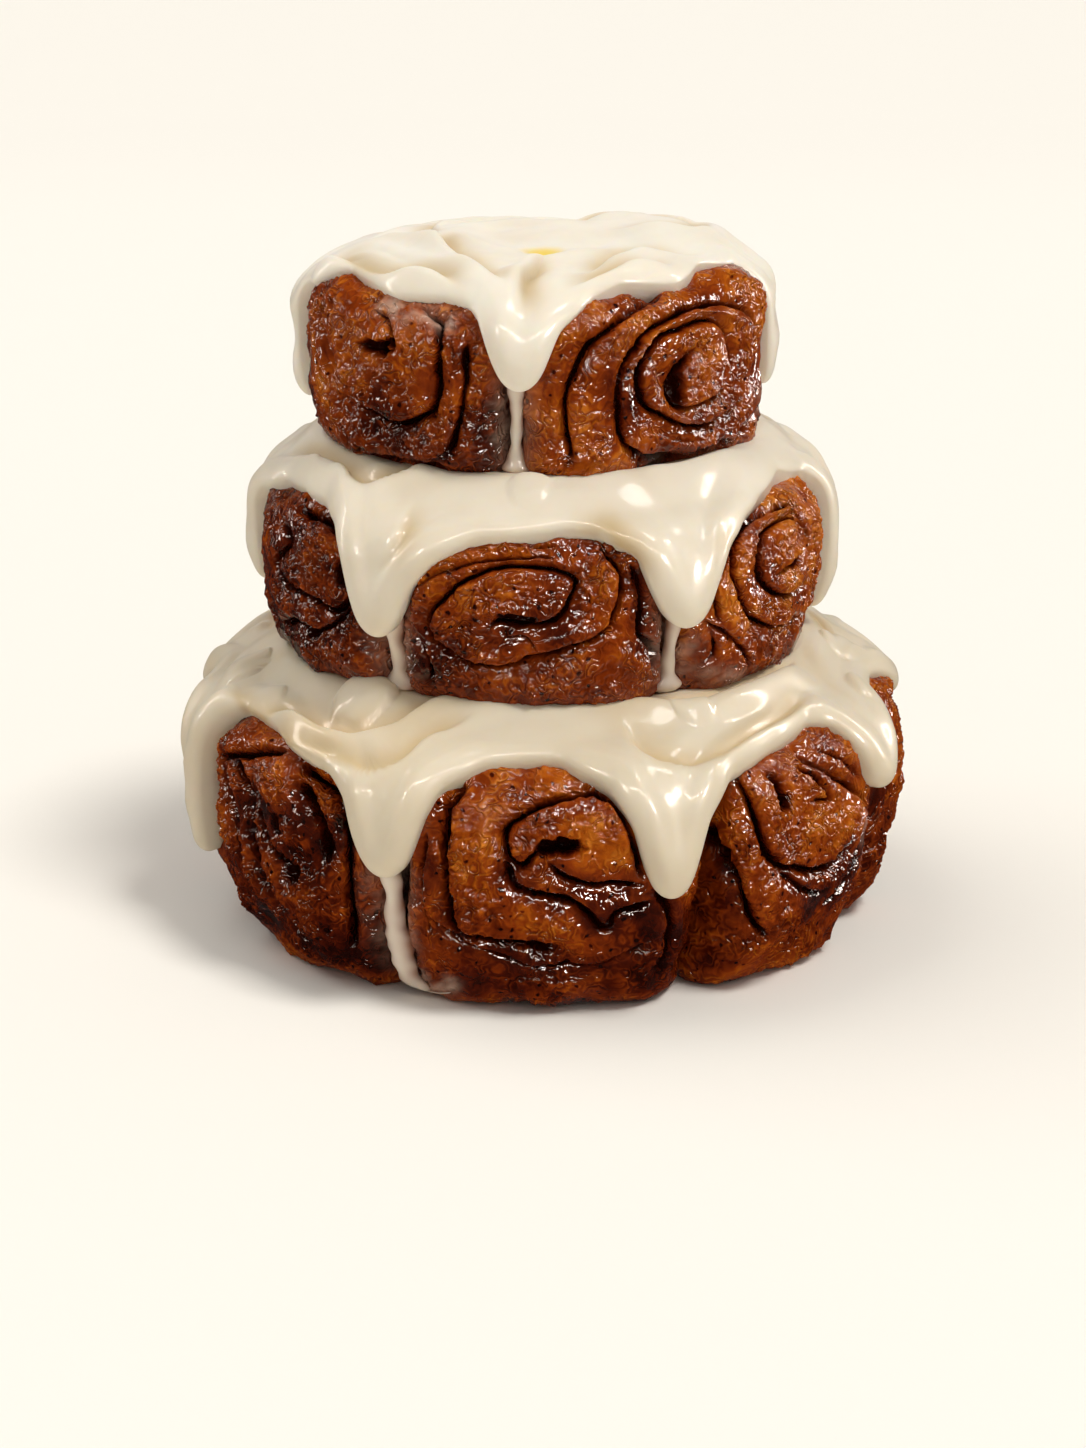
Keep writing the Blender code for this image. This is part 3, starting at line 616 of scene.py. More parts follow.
def cut_relief(roll, a, h, x, y, z, settings):
    """Depth of the cuts and eye holes, how much painted shade darkens them, how wet they are,
    the steps beside them, and for each place the distance to the nearest cut and the way along it.

    A layer is rounded by a quarter of an ellipse beside each cut, and the cut itself is a
    narrow bell. Its inner side stands a little proud.
    """
    seed = roll_seed(roll)

    def grain(number, size):
        """Seeded noise with bumps of that size in millimetres."""
        return noise(seed + number, size, x, y, z)

    a = a + 1.0 * grain(0, 10) + 0.3 * grain(3, 3.2)
    h = h + 1.0 * grain(5, 10) + 0.3 * grain(7, 3.2)
    uneven = 1 + 0.4 * grain(9, 14)
    depth, dark, syrup, step, along = (np.zeros(a.shape) for _ in range(5))
    nearest = np.full(a.shape, SHOULDER_EDGE)
    creases = roll.creases
    if not isinstance(creases[0], Crease):
        creases = tuple(Crease(*SPIRAL_CUT, -0.8 * hand, 0.3, spiral(roll, turns, hand, start))
                        for turns, hand, start in creases)
    for number, crease in enumerate(creases):
        away, there, length, side = line_distance(resampled(crease.points, 1.5), a, h)
        ends = smooth(np.minimum(there + 1.5, length - there + 1.5) / 6)
        strength = ends * uneven
        reach = settings.shoulder / MM * (0.5 + 0.12 * crease.depth)
        bend = 1 - np.sqrt(np.clip(1 - (1 - np.clip(away / reach, 0, 1)) ** 2, 0, 1))
        width = crease.width * (1 + 0.35 * grain(11 + number, 6))
        depth = np.maximum(depth, strength * crease.depth * (
            0.8 * bend + 0.75 * bell(away, width)))
        # painted shade in the cut, darkest where the cut is deepest
        dark = np.maximum(dark, strength * bell(away, 0.9 * width)
                          * min(1.0, crease.depth / FULL_SHADE_DEPTH))
        syrup = np.maximum(syrup, crease.syrup * ends * bell(away, 4.5))
        step = step + crease.step * side * ends * bell(away, 5.0)
        near = away < nearest
        nearest = np.where(near, away, nearest)
        along = np.where(near, there + 100 * number, along)
    for across, up, wide, tall, deep in roll.pits:
        inside = np.hypot((a - across) / wide, (h - up) / tall)
        inside = inside * (1 + 0.25 * grain(40, 2.5))
        pit = 1 - smooth((inside - 0.55) / 0.75)
        depth = np.maximum(depth, deep * pit)
        # painted shade in the hole
        dark = np.maximum(dark, 1.1 * pit)
    return step - settings.crease_depth * depth, dark, syrup, nearest, along


def roll_relief(roll, a, h, x, y, z, settings):
    """How far the crust lies in or out at each place of a roll, and what colours it.

    To the cuts it adds slow lumps, plates of crust with narrow gaps, thin ridges, pleats
    across the layers and streaks along them, all seeded noise.
    """
    seed = roll_seed(roll)

    def grain(number, size, *spots):
        """Seeded noise with bumps of that size in millimetres."""
        return noise(seed + number, size, *(spots or (x, y, z)))

    cuts, dark, syrup, nearest, along = cut_relief(roll, a, h, x, y, z, settings)
    lumps = settings.lump_height / MM * (grain(13, 17) + 0.5 * grain(15, 7.5))
    patch = smooth(0.6 + 0.9 * grain(17, 15))
    warped = [v + 1.3 * grain(number, 4) for v, number in ((x, 19), (y, 21), (z, 23))]
    near, second = cell_distances(seed + 25, PLATE, *warped)
    plates = np.clip((second - near) / 0.3, 0, 1) + 0.4 * np.clip((second - near) / 0.9, 0, 1)
    ribs = grain(27, 1, along / 2.4, nearest / 7, z / 30)
    streaks = grain(29, 1, along / 16, nearest / 1.6, z / 30)
    ridges = (1 - np.abs(grain(31, 3.6, *warped))) ** 4
    fine = (1 - np.abs(grain(34, 1.9, *warped))) ** 3
    syrup = np.clip(syrup + 0.8 * smooth(grain(39, 15) * 1.8 - 0.1), 0, 1)
    wrinkles = settings.wrinkle_height / MM * (1 - 0.6 * syrup) * (
        patch * (0.8 * plates + 1.4 * ridges + 0.45 * fine) + (1 - patch) * 0.7 * streaks
        + 0.8 * ribs * smooth(0.5 + 1.2 * grain(33, 18)))
    tone = (roll.tone + 0.24 * grain(35, 20) + 0.14 * grain(37, 6) + 0.05 * streaks + 0.006 * h
            + 0.07 * lumps + 0.16 * (ridges - 0.4) * patch)
    _, half = roll_span(roll.tier, roll.index)
    seam = smooth((np.abs(a) / (half * roll.tier.radius) - 0.8) / 0.2)
    foot = smooth(1 - (h + roll.tier.belly) / 14)
    offset = roll.swell * smooth((a - 12) / 26) - 1.4 * (1 - seam) * (1 - foot) + 0.6 * foot
    # the darkness passed on here is painted shade in the cuts and holes
    return cuts + lumps + wrinkles * (1 - 0.6 * seam) + offset, {
        "tone": tone, "cut": np.clip(dark, 0, 1), "syrup": syrup}


def milkiness(tier, angle, height, x, y, z):
    """How much thinned icing films the crust: bells round the lines where it has run."""
    milk = np.zeros(angle.shape)
    for reach, strength, points in SMEARS[tier.name]:
        line = np.array([(math.radians(turn) * tier.radius, up) for turn, up in points])
        middle = line[:, 0].mean() / tier.radius
        aside = wrapped(angle, middle) * tier.radius
        away = line_distance(resampled(line, 2), aside, height)[0]
        milk = np.maximum(milk, strength * bell(away, reach))
    return np.clip(milk * (0.85 + 1.1 * noise(91, 5, x, y, z) + 0.6 * noise(93, 2, x, y, z)), 0, 1)


def make_roll(roll, material, settings):
    """One roll: its rounded wedge, moved in and out along its normals by the relief."""
    tier = roll.tier
    rays = ring_directions(roll, *(FRONT_RINGS if roll.fine else BACK_RINGS))
    radius, angle, height, a, h = roll_surface(roll, rays)
    rows = place(tier, radius, angle, height)
    normals = row_normals(rows)
    spots = np.moveaxis(rows, -1, 0)
    relief, fields = roll_relief(roll, a, h, *spots, settings)
    fade = smooth((radius / tier.radius - 0.62) / 0.16)
    rows = rows + normals * (relief * fade)[..., None]
    rows[..., 2] = np.maximum(rows[..., 2], tier.foot)
    rows = slumped(tier, rows)
    rows[..., 2] -= SINK * smooth((rows[..., 2] - SINK_FROM) / 3)
    foot = smooth((PALE_FOOT - h - tier.belly + 2 * noise(43, 9, *spots)) / 4)
    fields["foot"] = foot * (0.4 + 0.6 * smooth((-spots[0] - 15) / 25)) * (tier is BASE)
    fields["milk"] = milkiness(tier, angle, height, *spots)
    return add_piece(roll.name + "_crust", closed_mesh(roll.name + "_crust", rows, fields),
                     material, "dough", roll.name)


# ---------------------------------------------------------------- icing

# Mounds where the icing has gathered on the ledges: x, y, reach and height
MOUNDS = {
    "base": ((-51, -61, 9.2, 4.2), (-88, -15, 8, 2.6), (-80, -42, 6, 1.6), (88, 0, 8, 2.6),
             (92, -26, 6, 1.8), (40, -72, 6, 1.2), (60, 68, 9, 2.4), (-40, 84, 8, 2.2)),
    "middle": ((-5, -66, 6, 1.4), (-70, -30, 6, 2.4), (-60, -44, 5, 1.6), (73, -20, 6, 2.4),
               (66, -38, 5, 1.4), (50, 50, 7, 2.0), (-55, 45, 7, 2.2)),
    "top": (),
}
# Places on the drum under the icing: the way from its top's middle, the angle, radius and
# height, the point, and the distance to the icing's edge
Drum = namedtuple("Drum", "walked around radius height points to_edge")
OUTLINE_SAMPLES = 700
COLUMN_STEP = 1.05        # between columns, along the icing's edge
NEAR_COLUMNS = 110        # to each side, in which the nearest part of the edge is looked for
REST_STEP = 0.5           # degrees between the edge's points where none are given
DRIP_HALF_WIDTH = 8.5     # of the drips that the edge in front gives
ROPE = 3.2                # from a fold's line to the crest of the rope beside it
WAVE = 11.0               # from one of the waves along the edge to the next
CARRIED = 8.0             # from the level part's rim in to where its rows are wide apart
HINGE_BACK = 11.0         # from where the icing starts to hang to the top of its arches
# Rows under the next tier and past it, all over the topmost icing, on the hanging part and
# round the lip
CARRIED_ROWS, LEDGE_ROWS, TOP_ROWS, HANGING_ROWS, LIP_ROWS = 3, 34, 52, 22, 11
# Rows inside the dough: share of the way from the hinge to the edge, and depth; then shares of
# the way to the hinge, and their depth
INNER_ROWS = ((1.0, 2.5), (0.93, 6.0), (0.75, 7.0))
UNDER_ROWS = (0.9, 0.4)
UNDER_DEPTH = 7.0


def outline(tier):
    """The drum's outline from the middle of its top to its foot: the way along it, radius
    and height there, and the outward normal."""
    turn = np.linspace(math.pi / 2, 0, OUTLINE_SAMPLES)
    upper_r = tier.radius * np.cos(turn).clip(0) ** (2 / EDGE_POWER)
    upper_z = tier.belly + (tier.height - tier.belly) * np.sin(turn).clip(0) ** (2 / EDGE_POWER)
    turn = np.linspace(0, math.pi / 2, OUTLINE_SAMPLES)[1:]
    lower_r = tier.foot_radius + (tier.radius - tier.foot_radius) * np.cos(turn)
    lower_z = tier.belly * (1 - np.sin(turn))
    radius = np.concatenate([upper_r, lower_r])
    height = np.concatenate([upper_z, lower_z]) + tier.foot
    path = way_along(radius, height)
    out_r, out_z = -np.gradient(height, path), np.gradient(radius, path)
    length = np.hypot(out_r, out_z)
    return path, radius, height, out_r / length, out_z / length


def icing_edge(tier):
    """Angle and height of the icing's edge, all the way round, in even steps.

    In front it runs through the points given. Elsewhere it hangs at the arches' height, and
    each drip adds its own reach, which falls off to both sides as one over one plus a power
    of the distance in half widths. Its corners are rounded by a moving mean.
    """
    first, last = tier.edge[0][0], tier.edge[-1][0]
    rest = np.arange(last + 3, first + 360 - 2.9, REST_STEP)
    level = tier.foot + tier.arch
    drop = np.zeros(rest.shape)
    for degrees, tip, half_width in tier.drips:
        away = (rest - degrees + 180) % 360 - 180
        away = np.abs(np.radians(away)) * tier.radius / half_width
        drop = drop + (tier.arch - tip) / (1 + away ** 3.2)
    wander = 1.3 * noise(17, 1, rest / 11, 0 * rest, 0 * rest)
    angle = np.concatenate([[p[0] for p in tier.edge], rest])
    height = np.concatenate([[p[1] for p in tier.edge], level - drop + wander])
    across = np.radians(angle) * tier.radius
    around = 2 * math.pi * tier.radius
    across = np.append(across, across[0] + around)
    height = np.append(height, height[0])
    walked = way_along(across, height)
    count = round(walked[-1] / COLUMN_STEP)
    stops = np.arange(count) / count * walked[-1]
    across = np.interp(stops, walked, across)
    height = np.interp(stops, walked, height)
    even = across[0] + around * np.arange(count) / count
    across = even + blurred(across - even, 10)
    return across / tier.radius, blurred(height, 10)


def spread_rows(start, stop, count, bunch=1.0):
    """Shares from just after start to stop, closer together near stop for a bunch above 1."""
    share = np.linspace(0, 1, count + 1)[1:]
    return start + (stop - start) * (1 - (1 - share) ** bunch)


def edge_distance(points, edge):
    """Distance from each place to the edge's line, over the columns near its own."""
    best = np.full(points.shape[:2], 1e9)
    for shift in range(-NEAR_COLUMNS, NEAR_COLUMNS):
        start = np.roll(edge, shift, axis=0)
        run = np.roll(edge, shift - 1, axis=0) - start
        share = np.einsum("ijk,jk->ij", points - start, run) / np.maximum((run ** 2).sum(-1), 1e-9)
        away = points - start - np.clip(share, 0, 1)[..., None] * run
        best = np.minimum(best, np.sqrt((away ** 2).sum(-1)))
    return best


def top_swirl(tier, radius, angle):
    """Spread marks of the topmost icing: slow unevenness, two lobes with a valley towards the
    back, and a dimple near the middle."""
    x, y = radius * np.sin(angle), -radius * np.cos(angle)
    wave = 0.6 * np.sin(2 * math.pi * radius / 24 - angle + 0.8 * noise(3, 30, x, y, 0 * x))
    wave = wave + 1.3 * noise(5, 34, x, y, 0 * x) + 0.25 * noise(7, 13, x, y, 0 * x)
    valley = -3.0 * bell(x - 6 - 0.1 * y, 9) * smooth((y - 2) / 40)
    lobe = 1.8 * np.exp(-((x - 36) / 18) ** 2 - ((y - 18) / 26) ** 2)
    dome = -3.0 - 1.9 * (radius / 42) ** 2.5
    dimple = -2.6 * np.exp(-(((x - 2.6) / 6) ** 2 + ((y + 25) / 5) ** 2) ** 1.5)
    return dome + dimple + (wave * smooth(radius / 14) + valley + lobe) * smooth(
        (tier.radius - radius) / 12)


def fold_relief(tier, angle, walked, base_r):
    """Height of the folds at each place, and the painted shade in and beside each fold's dip.

    Right of the way a line runs the icing swells like a rope, and left of it there is a dip.
    Both fade towards the line's ends.
    """
    relief, shade = np.zeros(walked.shape), np.zeros(walked.shape)
    for height, points in FOLDS[tier.name]:
        points = np.array(points, dtype=float)
        scale = np.interp(points[:, 1].mean(), walked[:, 0], base_r[:, 0])
        line = resampled(np.stack([np.radians(points[:, 0]) * scale, points[:, 1]], axis=-1), 2)
        middle = line[:, 0].mean() / scale
        aside = wrapped(angle, middle) * scale
        away, there, length, side = line_distance(line, aside, walked)
        ends = smooth(np.minimum(there, length - there) / 15)
        dip = bell(away, np.where(side < 0, 3.0, 0.9))
        swell = np.where(side > 0, away / ROPE * np.exp(1 - away / ROPE), 0)
        relief = relief + height * ends * (0.9 * swell - 0.7 * dip)
        shade = np.maximum(shade, ends * bell(away, np.where(side < 0, 4.5, 1.2)))
    return relief, shade


def drips_of(tier, angle, edge_z):
    """Angle, tip height and half width of each drip: the edge's own lowest places in front
    and the ones given elsewhere."""
    found = [(math.radians(degrees), tier.foot + tip, width) for degrees, tip, width in tier.drips]
    degrees = np.degrees(angle)
    front = (degrees > tier.edge[0][0]) & (degrees < tier.edge[-1][0])
    lower = (edge_z < np.roll(edge_z, 1)) & (edge_z <= np.roll(edge_z, -1)) & front
    lower &= edge_z < tier.foot + tier.arch - 8
    return found + [(angle[k], edge_z[k], DRIP_HALF_WIDTH) for k in np.flatnonzero(lower)]


def hung_thickness(tier, drum, angle, edge_z, settings):
    """How thick the icing lies on the drum at each place, the part of that which is folds,
    and how much painted shade the folds give the place.

    The thickness is a quarter of an ellipse of the distance to the edge, with a fuller tip on
    each drip and a thinner sheet behind the lip. Waves follow the edge, and lumps make the
    hanging part uneven.
    """
    x, y, z = np.moveaxis(drum.points, -1, 0)
    near = np.clip(drum.to_edge / (settings.lip_round / MM), 0, 1)
    side = bell(np.abs(wrapped(drum.around)) - 1.6, 0.5)
    skirt = settings.lip * tier.lip * (1 - 0.2 * side) * np.sqrt(1 - (1 - near) ** 2)
    for degrees, tip, half_width in drips_of(tier, angle, edge_z):
        aside = wrapped(drum.around - degrees) * tier.radius
        bulge = np.exp(-(aside / (0.75 * half_width)) ** 2 - ((drum.height - tip - 8) / 9) ** 2)
        skirt = skirt * (1 + 0.22 * bulge)
    hanging = smooth((tier.foot + tier.height - drum.height) / 10)
    thinner = 1.5 * smooth((drum.to_edge - 6) / 5) * hanging
    bend = drum.to_edge + 3.0 * noise(31, 34, x, y, z)
    crest = np.cos(2 * math.pi * (bend - 15) / WAVE) * smooth((drum.to_edge - 7) / 4)
    vary = smooth(0.5 + 1.3 * noise(33, 40, x, y, z))
    drawn, shade = fold_relief(tier, drum.around, drum.walked, drum.radius)
    folds = settings.fold_height / MM * (
        0.35 * crest * vary * smooth((46 - drum.to_edge) / 20)
        + 0.5 * noise(35, 22, x, y, z) * near + drawn * near)
    lumps = 1.3 * (0.25 + side) * noise(41, 11, x, y, z) * near * hanging
    return blurred(skirt - thinner + folds + lumps, 6), folds, shade


def gathered(tier, x, y):
    """Height of the mounds: half ellipsoids with an uneven border."""
    height = 0.0
    for across, back, size, tall in MOUNDS[tier.name]:
        away = np.hypot(x - across, y - back) / size * (1 + 0.16 * noise(37, 6, x, y, 0 * x))
        height = height + tall * np.sqrt(np.clip(1 - away ** 2.2, 0, 1))
    return height


def on_outline(tier, line, walked, off, angle):
    """Points at a way along the drum's outline, that far off it along its normal."""
    path, radius, height, out_r, out_z = line
    return place(tier, np.interp(walked, path, radius) + off * np.interp(walked, path, out_r),
                 angle, np.interp(walked, path, height) + off * np.interp(walked, path, out_z))


def row_ways(tier, above, hinge, edge, lip):
    """The way along the outline for each row: even rows up to the hinge, where the icing starts
    to hang, then even shares of what is left, and close rows round the lip."""
    if above:
        top = slice(OUTLINE_SAMPLES)
        path, radius = (part[top] for part in outline(tier)[:2])
        stand = np.interp(tier.stand_radius - CARRIED, radius, path)
        level = np.concatenate([spread_rows(0, stand, CARRIED_ROWS),
                                spread_rows(stand, hinge, LEDGE_ROWS)])
    else:
        level = spread_rows(0, hinge, TOP_ROWS)
    rows = [np.full(edge.shape, stop) for stop in level]
    rows += [hinge + (edge - lip - hinge) * share for share in spread_rows(0, 1, HANGING_ROWS)]
    rows += [edge - lip * (1 - share) for share in spread_rows(0, 1, LIP_ROWS, 1.8)]
    return np.array(rows)


def top_level(tier, above, reach, around):
    """Height of the icing's level part and, from 0 to 1, how far it has given way to the part
    that hangs. It rises a little against the next tier, or has the topmost icing's swirl."""
    level = tier.foot + tier.height + GAP + tier.icing
    if not above:
        return level + top_swirl(tier, reach, around), 1 - smooth(
            (tier.radius * 0.9 - reach) / 14)
    pool = 0.9 * np.exp(-np.maximum(reach - above.foot_radius - 3, 0) / 3.5)
    level = level + pool * smooth((reach - above.foot_radius + 6) / 6)
    return level, smooth((reach - tier.stand_radius) / 12)


def inner_side(tier, line, hinge, edge, angle):
    """Rows from the edge back up inside the dough and in under the level part."""
    path, radius = line[:2]
    rows = [on_outline(tier, line, hinge + (edge - hinge) * share, -depth, angle)
            for share, depth in INNER_ROWS]
    rows += [place(tier, np.interp(hinge * share, path, radius), angle,
                   tier.foot + tier.height - UNDER_DEPTH + 0 * angle) for share in UNDER_ROWS]
    return np.array(rows)


def make_icing(tier, above, material, settings):
    """One layer of icing, from the middle of its top over the rim to the edge of its drips,
    and back just inside the dough.

    Each place lies off the drum's outline along its normal, as thick as the icing hangs. The
    part that carries the next tier is level, and rises a little against its dough.
    """
    line = outline(tier)
    path, radius, height, out_r, out_z = line
    angle, edge_z = icing_edge(tier)
    edge = np.interp(-edge_z, -height, path)
    lip = settings.lip_round / MM
    hinge = min(np.interp(-(tier.foot + tier.arch), -height, path) - HINGE_BACK,
                edge.min() - lip - 2)
    walked = row_ways(tier, above, hinge, edge, lip)
    around = np.broadcast_to(angle, walked.shape)
    points = on_outline(tier, line, walked, 0, around)
    drum = Drum(walked, around, np.interp(walked, path, radius), np.interp(walked, path, height),
                points, edge_distance(points, points[-1]))
    thick, folds, shade = hung_thickness(tier, drum, angle, edge_z, settings)
    reach = drum.radius + np.interp(walked, path, out_r) * thick
    level, slope = top_level(tier, above, reach, around)
    bare_radius = above.foot_radius if above else 0
    x, y = reach * np.sin(around) + tier.centre_x, -reach * np.cos(around)
    mound = gathered(tier, x, y) * smooth((drum.to_edge - 4) / 5)
    level = level + mound + folds * 0.9 * smooth((reach - bare_radius) / 6)
    sheet = drum.height + np.interp(walked, path, out_z) * thick + mound
    out = place(tier, reach, around, level + (sheet - level) * slope)
    inner = inner_side(tier, line, hinge, edge, angle)
    rows = slumped(tier, np.concatenate([out, inner]))
    # Painted shade: in the fold dips; on the lower tiers also over the level part and the sheet
    # away from the edge, and all over the tier.
    pale = smooth((drum.to_edge - 12) / 9) * smooth(0.7 + noise(39, 26, x, y, 0 * x))
    hidden = np.zeros(inner.shape[:2])
    fields = {"fold": np.concatenate([np.maximum(shade, 0.45 * tier.warm * pale), hidden]),
              "warm": np.full(rows.shape[:2], tier.warm)}
    if not above:
        x, y = reach * np.sin(around), -reach * np.cos(around)
        butter = np.exp(-(((x - 2.6) / 5.4) ** 2 + ((y + 22.5) / 3.6) ** 2) ** 2)
        fields["butter"] = np.concatenate([butter, hidden])
    name = f"icing_{tier.name}"
    return add_piece(name + "_cream", closed_mesh(name + "_cream", rows, fields), material,
                     "icing", name)


# ---------------------------------------------------------------- trickles and smears

# Where thinned icing has run over the crust: its reach, its strength, and its line as angles
# and heights above the ground
SMEARS = {
    "top": ((4.0, 1.0, ((-4.6, 178), (-4.8, 162), (-5, 146))),
            (3.0, 0.8, ((-42, 193), (-32, 191), (-22, 190))),
            (4.0, 0.6, ((72, 160), (84, 150)))),
    "middle": ((5.0, 1.0, ((-33.5, 108), (-33.6, 96), (-33.8, 84))),
               (5.0, 1.0, ((28.8, 114), (29, 100), (29, 84))),
               (3.0, 0.5, ((33, 90), (44, 87)))),
    "base": ((5.0, 1.0, ((-27.3, 48), (-27.6, 30), (-26.8, 10), (-24.6, 3))),
             (2.5, 0.8, ((-24, 4), (-20, 5), (-17, 7))),
             (3.0, 0.6, ((62, 40), (66, 26)))),
}

# Each trickle's tier, then angle, height above the ground, how far it stands off the wall,
# half width and half thickness at each point
TRICKLES = {
    "trickle_top_front": (TOP, ((-4.6, 178, -6.5, 4.2, 2.4), (-4.8, 171, -8, 2.6, 2.2),
                                (-4.5, 163, -9, 1.8, 2), (-4.8, 156, -9, 1.6, 2),
                                (-5.1, 150, -8, 2.6, 2.4), (-5, 145.5, -4, 5.5, 3))),
    "trickle_middle_left": (MIDDLE, ((-33.2, 109, -6, 4.6, 2.4), (-33.8, 101, -8, 3, 2.4),
                                     (-33.5, 94, -8.4, 2.6, 2.2), (-33.9, 88, -7, 3.6, 2.6),
                                     (-34, 83.5, -3, 7, 3.2))),
    "trickle_middle_right": (MIDDLE, ((28.8, 113, -6, 4, 2.2), (29.2, 105, -8.4, 2.4, 2.2),
                                      (28.9, 97, -9, 1.8, 2), (29.2, 90, -8, 2.4, 2.2),
                                      (29, 84, -3.6, 5.5, 2.8))),
    "trickle_base_left": (BASE, ((-27, 48, -7, 5, 2.6), (-27.9, 40, -9, 3.4, 2.6),
                                 (-27.4, 32, -9.6, 2.8, 2.4), (-27.8, 24, -9.4, 3.4, 2.6),
                                 (-27.2, 16, -8, 3.8, 2.4), (-26.6, 9, -5.4, 3.6, 2.4),
                                 (-25.6, 4, -3, 4.6, 2.2), (-23.4, 1.6, -1.4, 2.6, 1.6),
                                 (-20, 2.4, -0.2, 2.6, 1.2), (-17.6, 4, 0.4, 1.2, 0.8))),
}
RIBBON_SIDES = 32


def make_trickle(name, tier, stations, material):
    """A closed ribbon of oval section, carried along a smooth line down the cake's side."""
    line = resampled(np.array(stations), 0.9)
    angle, height, off, wide, thick = line.T
    angle = np.radians(angle)
    radius = wall_radius(tier, np.maximum(height, tier.foot + 0.5)) + off
    share = np.linspace(0, 1, len(line))
    taper = np.sqrt(np.clip(1 - (2 * share - 1) ** 8, 0, 1))
    wobble = 1 + 0.3 * noise(71, 4, radius, height, angle)
    turn = np.linspace(0, 2 * math.pi, RIBBON_SIDES + 1)[:-1]
    aside = (wide * wobble * taper)[:, None] * np.sin(turn)
    outward = (thick * taper)[:, None] * np.cos(turn)
    rows = place(tier, radius[:, None] + outward, angle[:, None] + aside / radius[:, None],
                 np.broadcast_to(height[:, None], aside.shape))
    thin = (0.3 + 0.7 * np.sin(turn) ** 2) * (0.8 + 0.5 * noise(73, 6, *np.moveaxis(rows, -1, 0)))
    return add_piece(name, closed_mesh(name, rows, {"fold": 0 * aside, "thin": thin}), material,
                     "icing")


# ---------------------------------------------------------------- materials

def add_node(tree, kind, inputs=(), output=0, **options):
    """Add a shader node, set its options, set or link its inputs by name or number, and
    return one of its outputs."""
    node = tree.nodes.new("ShaderNode" + kind)
    for key, value in options.items():
        setattr(node, key, value)
    for key, value in dict(inputs).items():
        if isinstance(value, bpy.types.NodeSocket):
            tree.links.new(value, node.inputs[key])
        else:
            node.inputs[key].default_value = value
    return node.outputs[output]


def new_material(name, **sockets):
    """A node material with its Principled shader's sockets set: underscores stand for spaces."""
    material = bpy.data.materials.new(name)
    material.use_nodes = True
    tree = material.node_tree
    shader = tree.nodes["Principled BSDF"]
    for key, value in sockets.items():
        shader.inputs[key.replace("_", " ")].default_value = value
    return material, tree, shader


def curled_wrinkles(tree, bent, coords, syrup):
    """Wrinkles 1.5 to 3 mm apart: the height lines of a slow noise, which curl and close up.
    They come in patches, and syrup fills them."""
    slow = add_node(tree, "TexNoise", {"Vector": bent, "Scale": 1 / (5.26 * MM), "Detail": 1,
                                       "Roughness": 0.5})
    lines = add_node(tree, "Math", {0: slow, 1: 44.0}, operation="MULTIPLY")
    wave = add_node(tree, "Math", {0: lines}, operation="SINE")
    share = add_node(tree, "Math", {0: wave, 1: 0.5, 2: 0.5}, operation="MULTIPLY_ADD")
    curl = add_node(tree, "Math", {0: share, 1: 1.4}, operation="POWER")
    patchy = add_node(tree, "TexNoise", {"Vector": coords, "Scale": 1 / (8.33 * MM), "Detail": 1})
    patchy = add_node(tree, "MapRange", {"Value": patchy, "From Min": 0.36, "From Max": 0.6,
                                         "To Min": 0.3, "To Max": 1.0})
    dry = add_node(tree, "Math", {0: syrup, 1: -0.7, 2: 1.0}, operation="MULTIPLY_ADD")
    dry = add_node(tree, "Math", {0: patchy, 1: dry}, operation="MULTIPLY")
    return add_node(tree, "Math", {0: curl, 1: dry}, operation="MULTIPLY")


def crust_pores(tree, bent):
    """Pores: half of the 3.45 mm cells have a 1 mm hole, dented, with painted shade in it."""
    cells = add_node(tree, "TexVoronoi", {"Vector": bent, "Scale": 1 / (3.45 * MM)}).node
    pore_dent_and_shade = add_node(tree, "MapRange", {"Value": cells.outputs["Distance"], "From Min": 0.1,
                                       "From Max": 0.24, "To Min": 1.0, "To Max": 0.0},
                    interpolation_type="SMOOTHSTEP")
    pick = add_node(tree, "SeparateColor", {0: cells.outputs["Color"]})
    chosen = add_node(tree, "Math", {0: pick, 1: 0.5}, operation="GREATER_THAN")
    return add_node(tree, "Math", {0: pore_dent_and_shade, 1: chosen}, operation="MULTIPLY")


def crust_relief(tree, shader, curl, syrup, soft, pore_dent_and_shade, fine):
    """Bumps of the crust, from its 4 mm unevenness, wrinkles, pores and grain, and of the glaze
    over it, which has no pores or grain, less of the wrinkles, and is levelled by syrup."""
    low_curl = add_node(tree, "Math", {0: curl, 1: 0.38}, operation="MULTIPLY")
    glaze = add_node(tree, "Math", {0: soft, 1: 0.9, 2: low_curl}, operation="MULTIPLY_ADD")
    level = add_node(tree, "Math", {0: syrup, 1: -0.5, 2: 1.0}, operation="MULTIPLY_ADD")
    glaze = add_node(tree, "Math", {0: glaze, 1: level}, operation="MULTIPLY")
    height = add_node(tree, "Math", {0: curl, 1: 0.6}, operation="MULTIPLY")
    for pattern, share in ((soft, 0.9), (pore_dent_and_shade, -0.7), (fine, 0.12)):
        height = add_node(tree, "Math", {0: pattern, 1: share, 2: height},
                          operation="MULTIPLY_ADD")
    for relief, socket in ((height, "Normal"), (glaze, "Coat Normal")):
        bump = add_node(tree, "Bump", {"Height": relief, "Strength": 1.0, "Distance": 1.0 * MM})
        tree.links.new(bump, shader.inputs[socket])


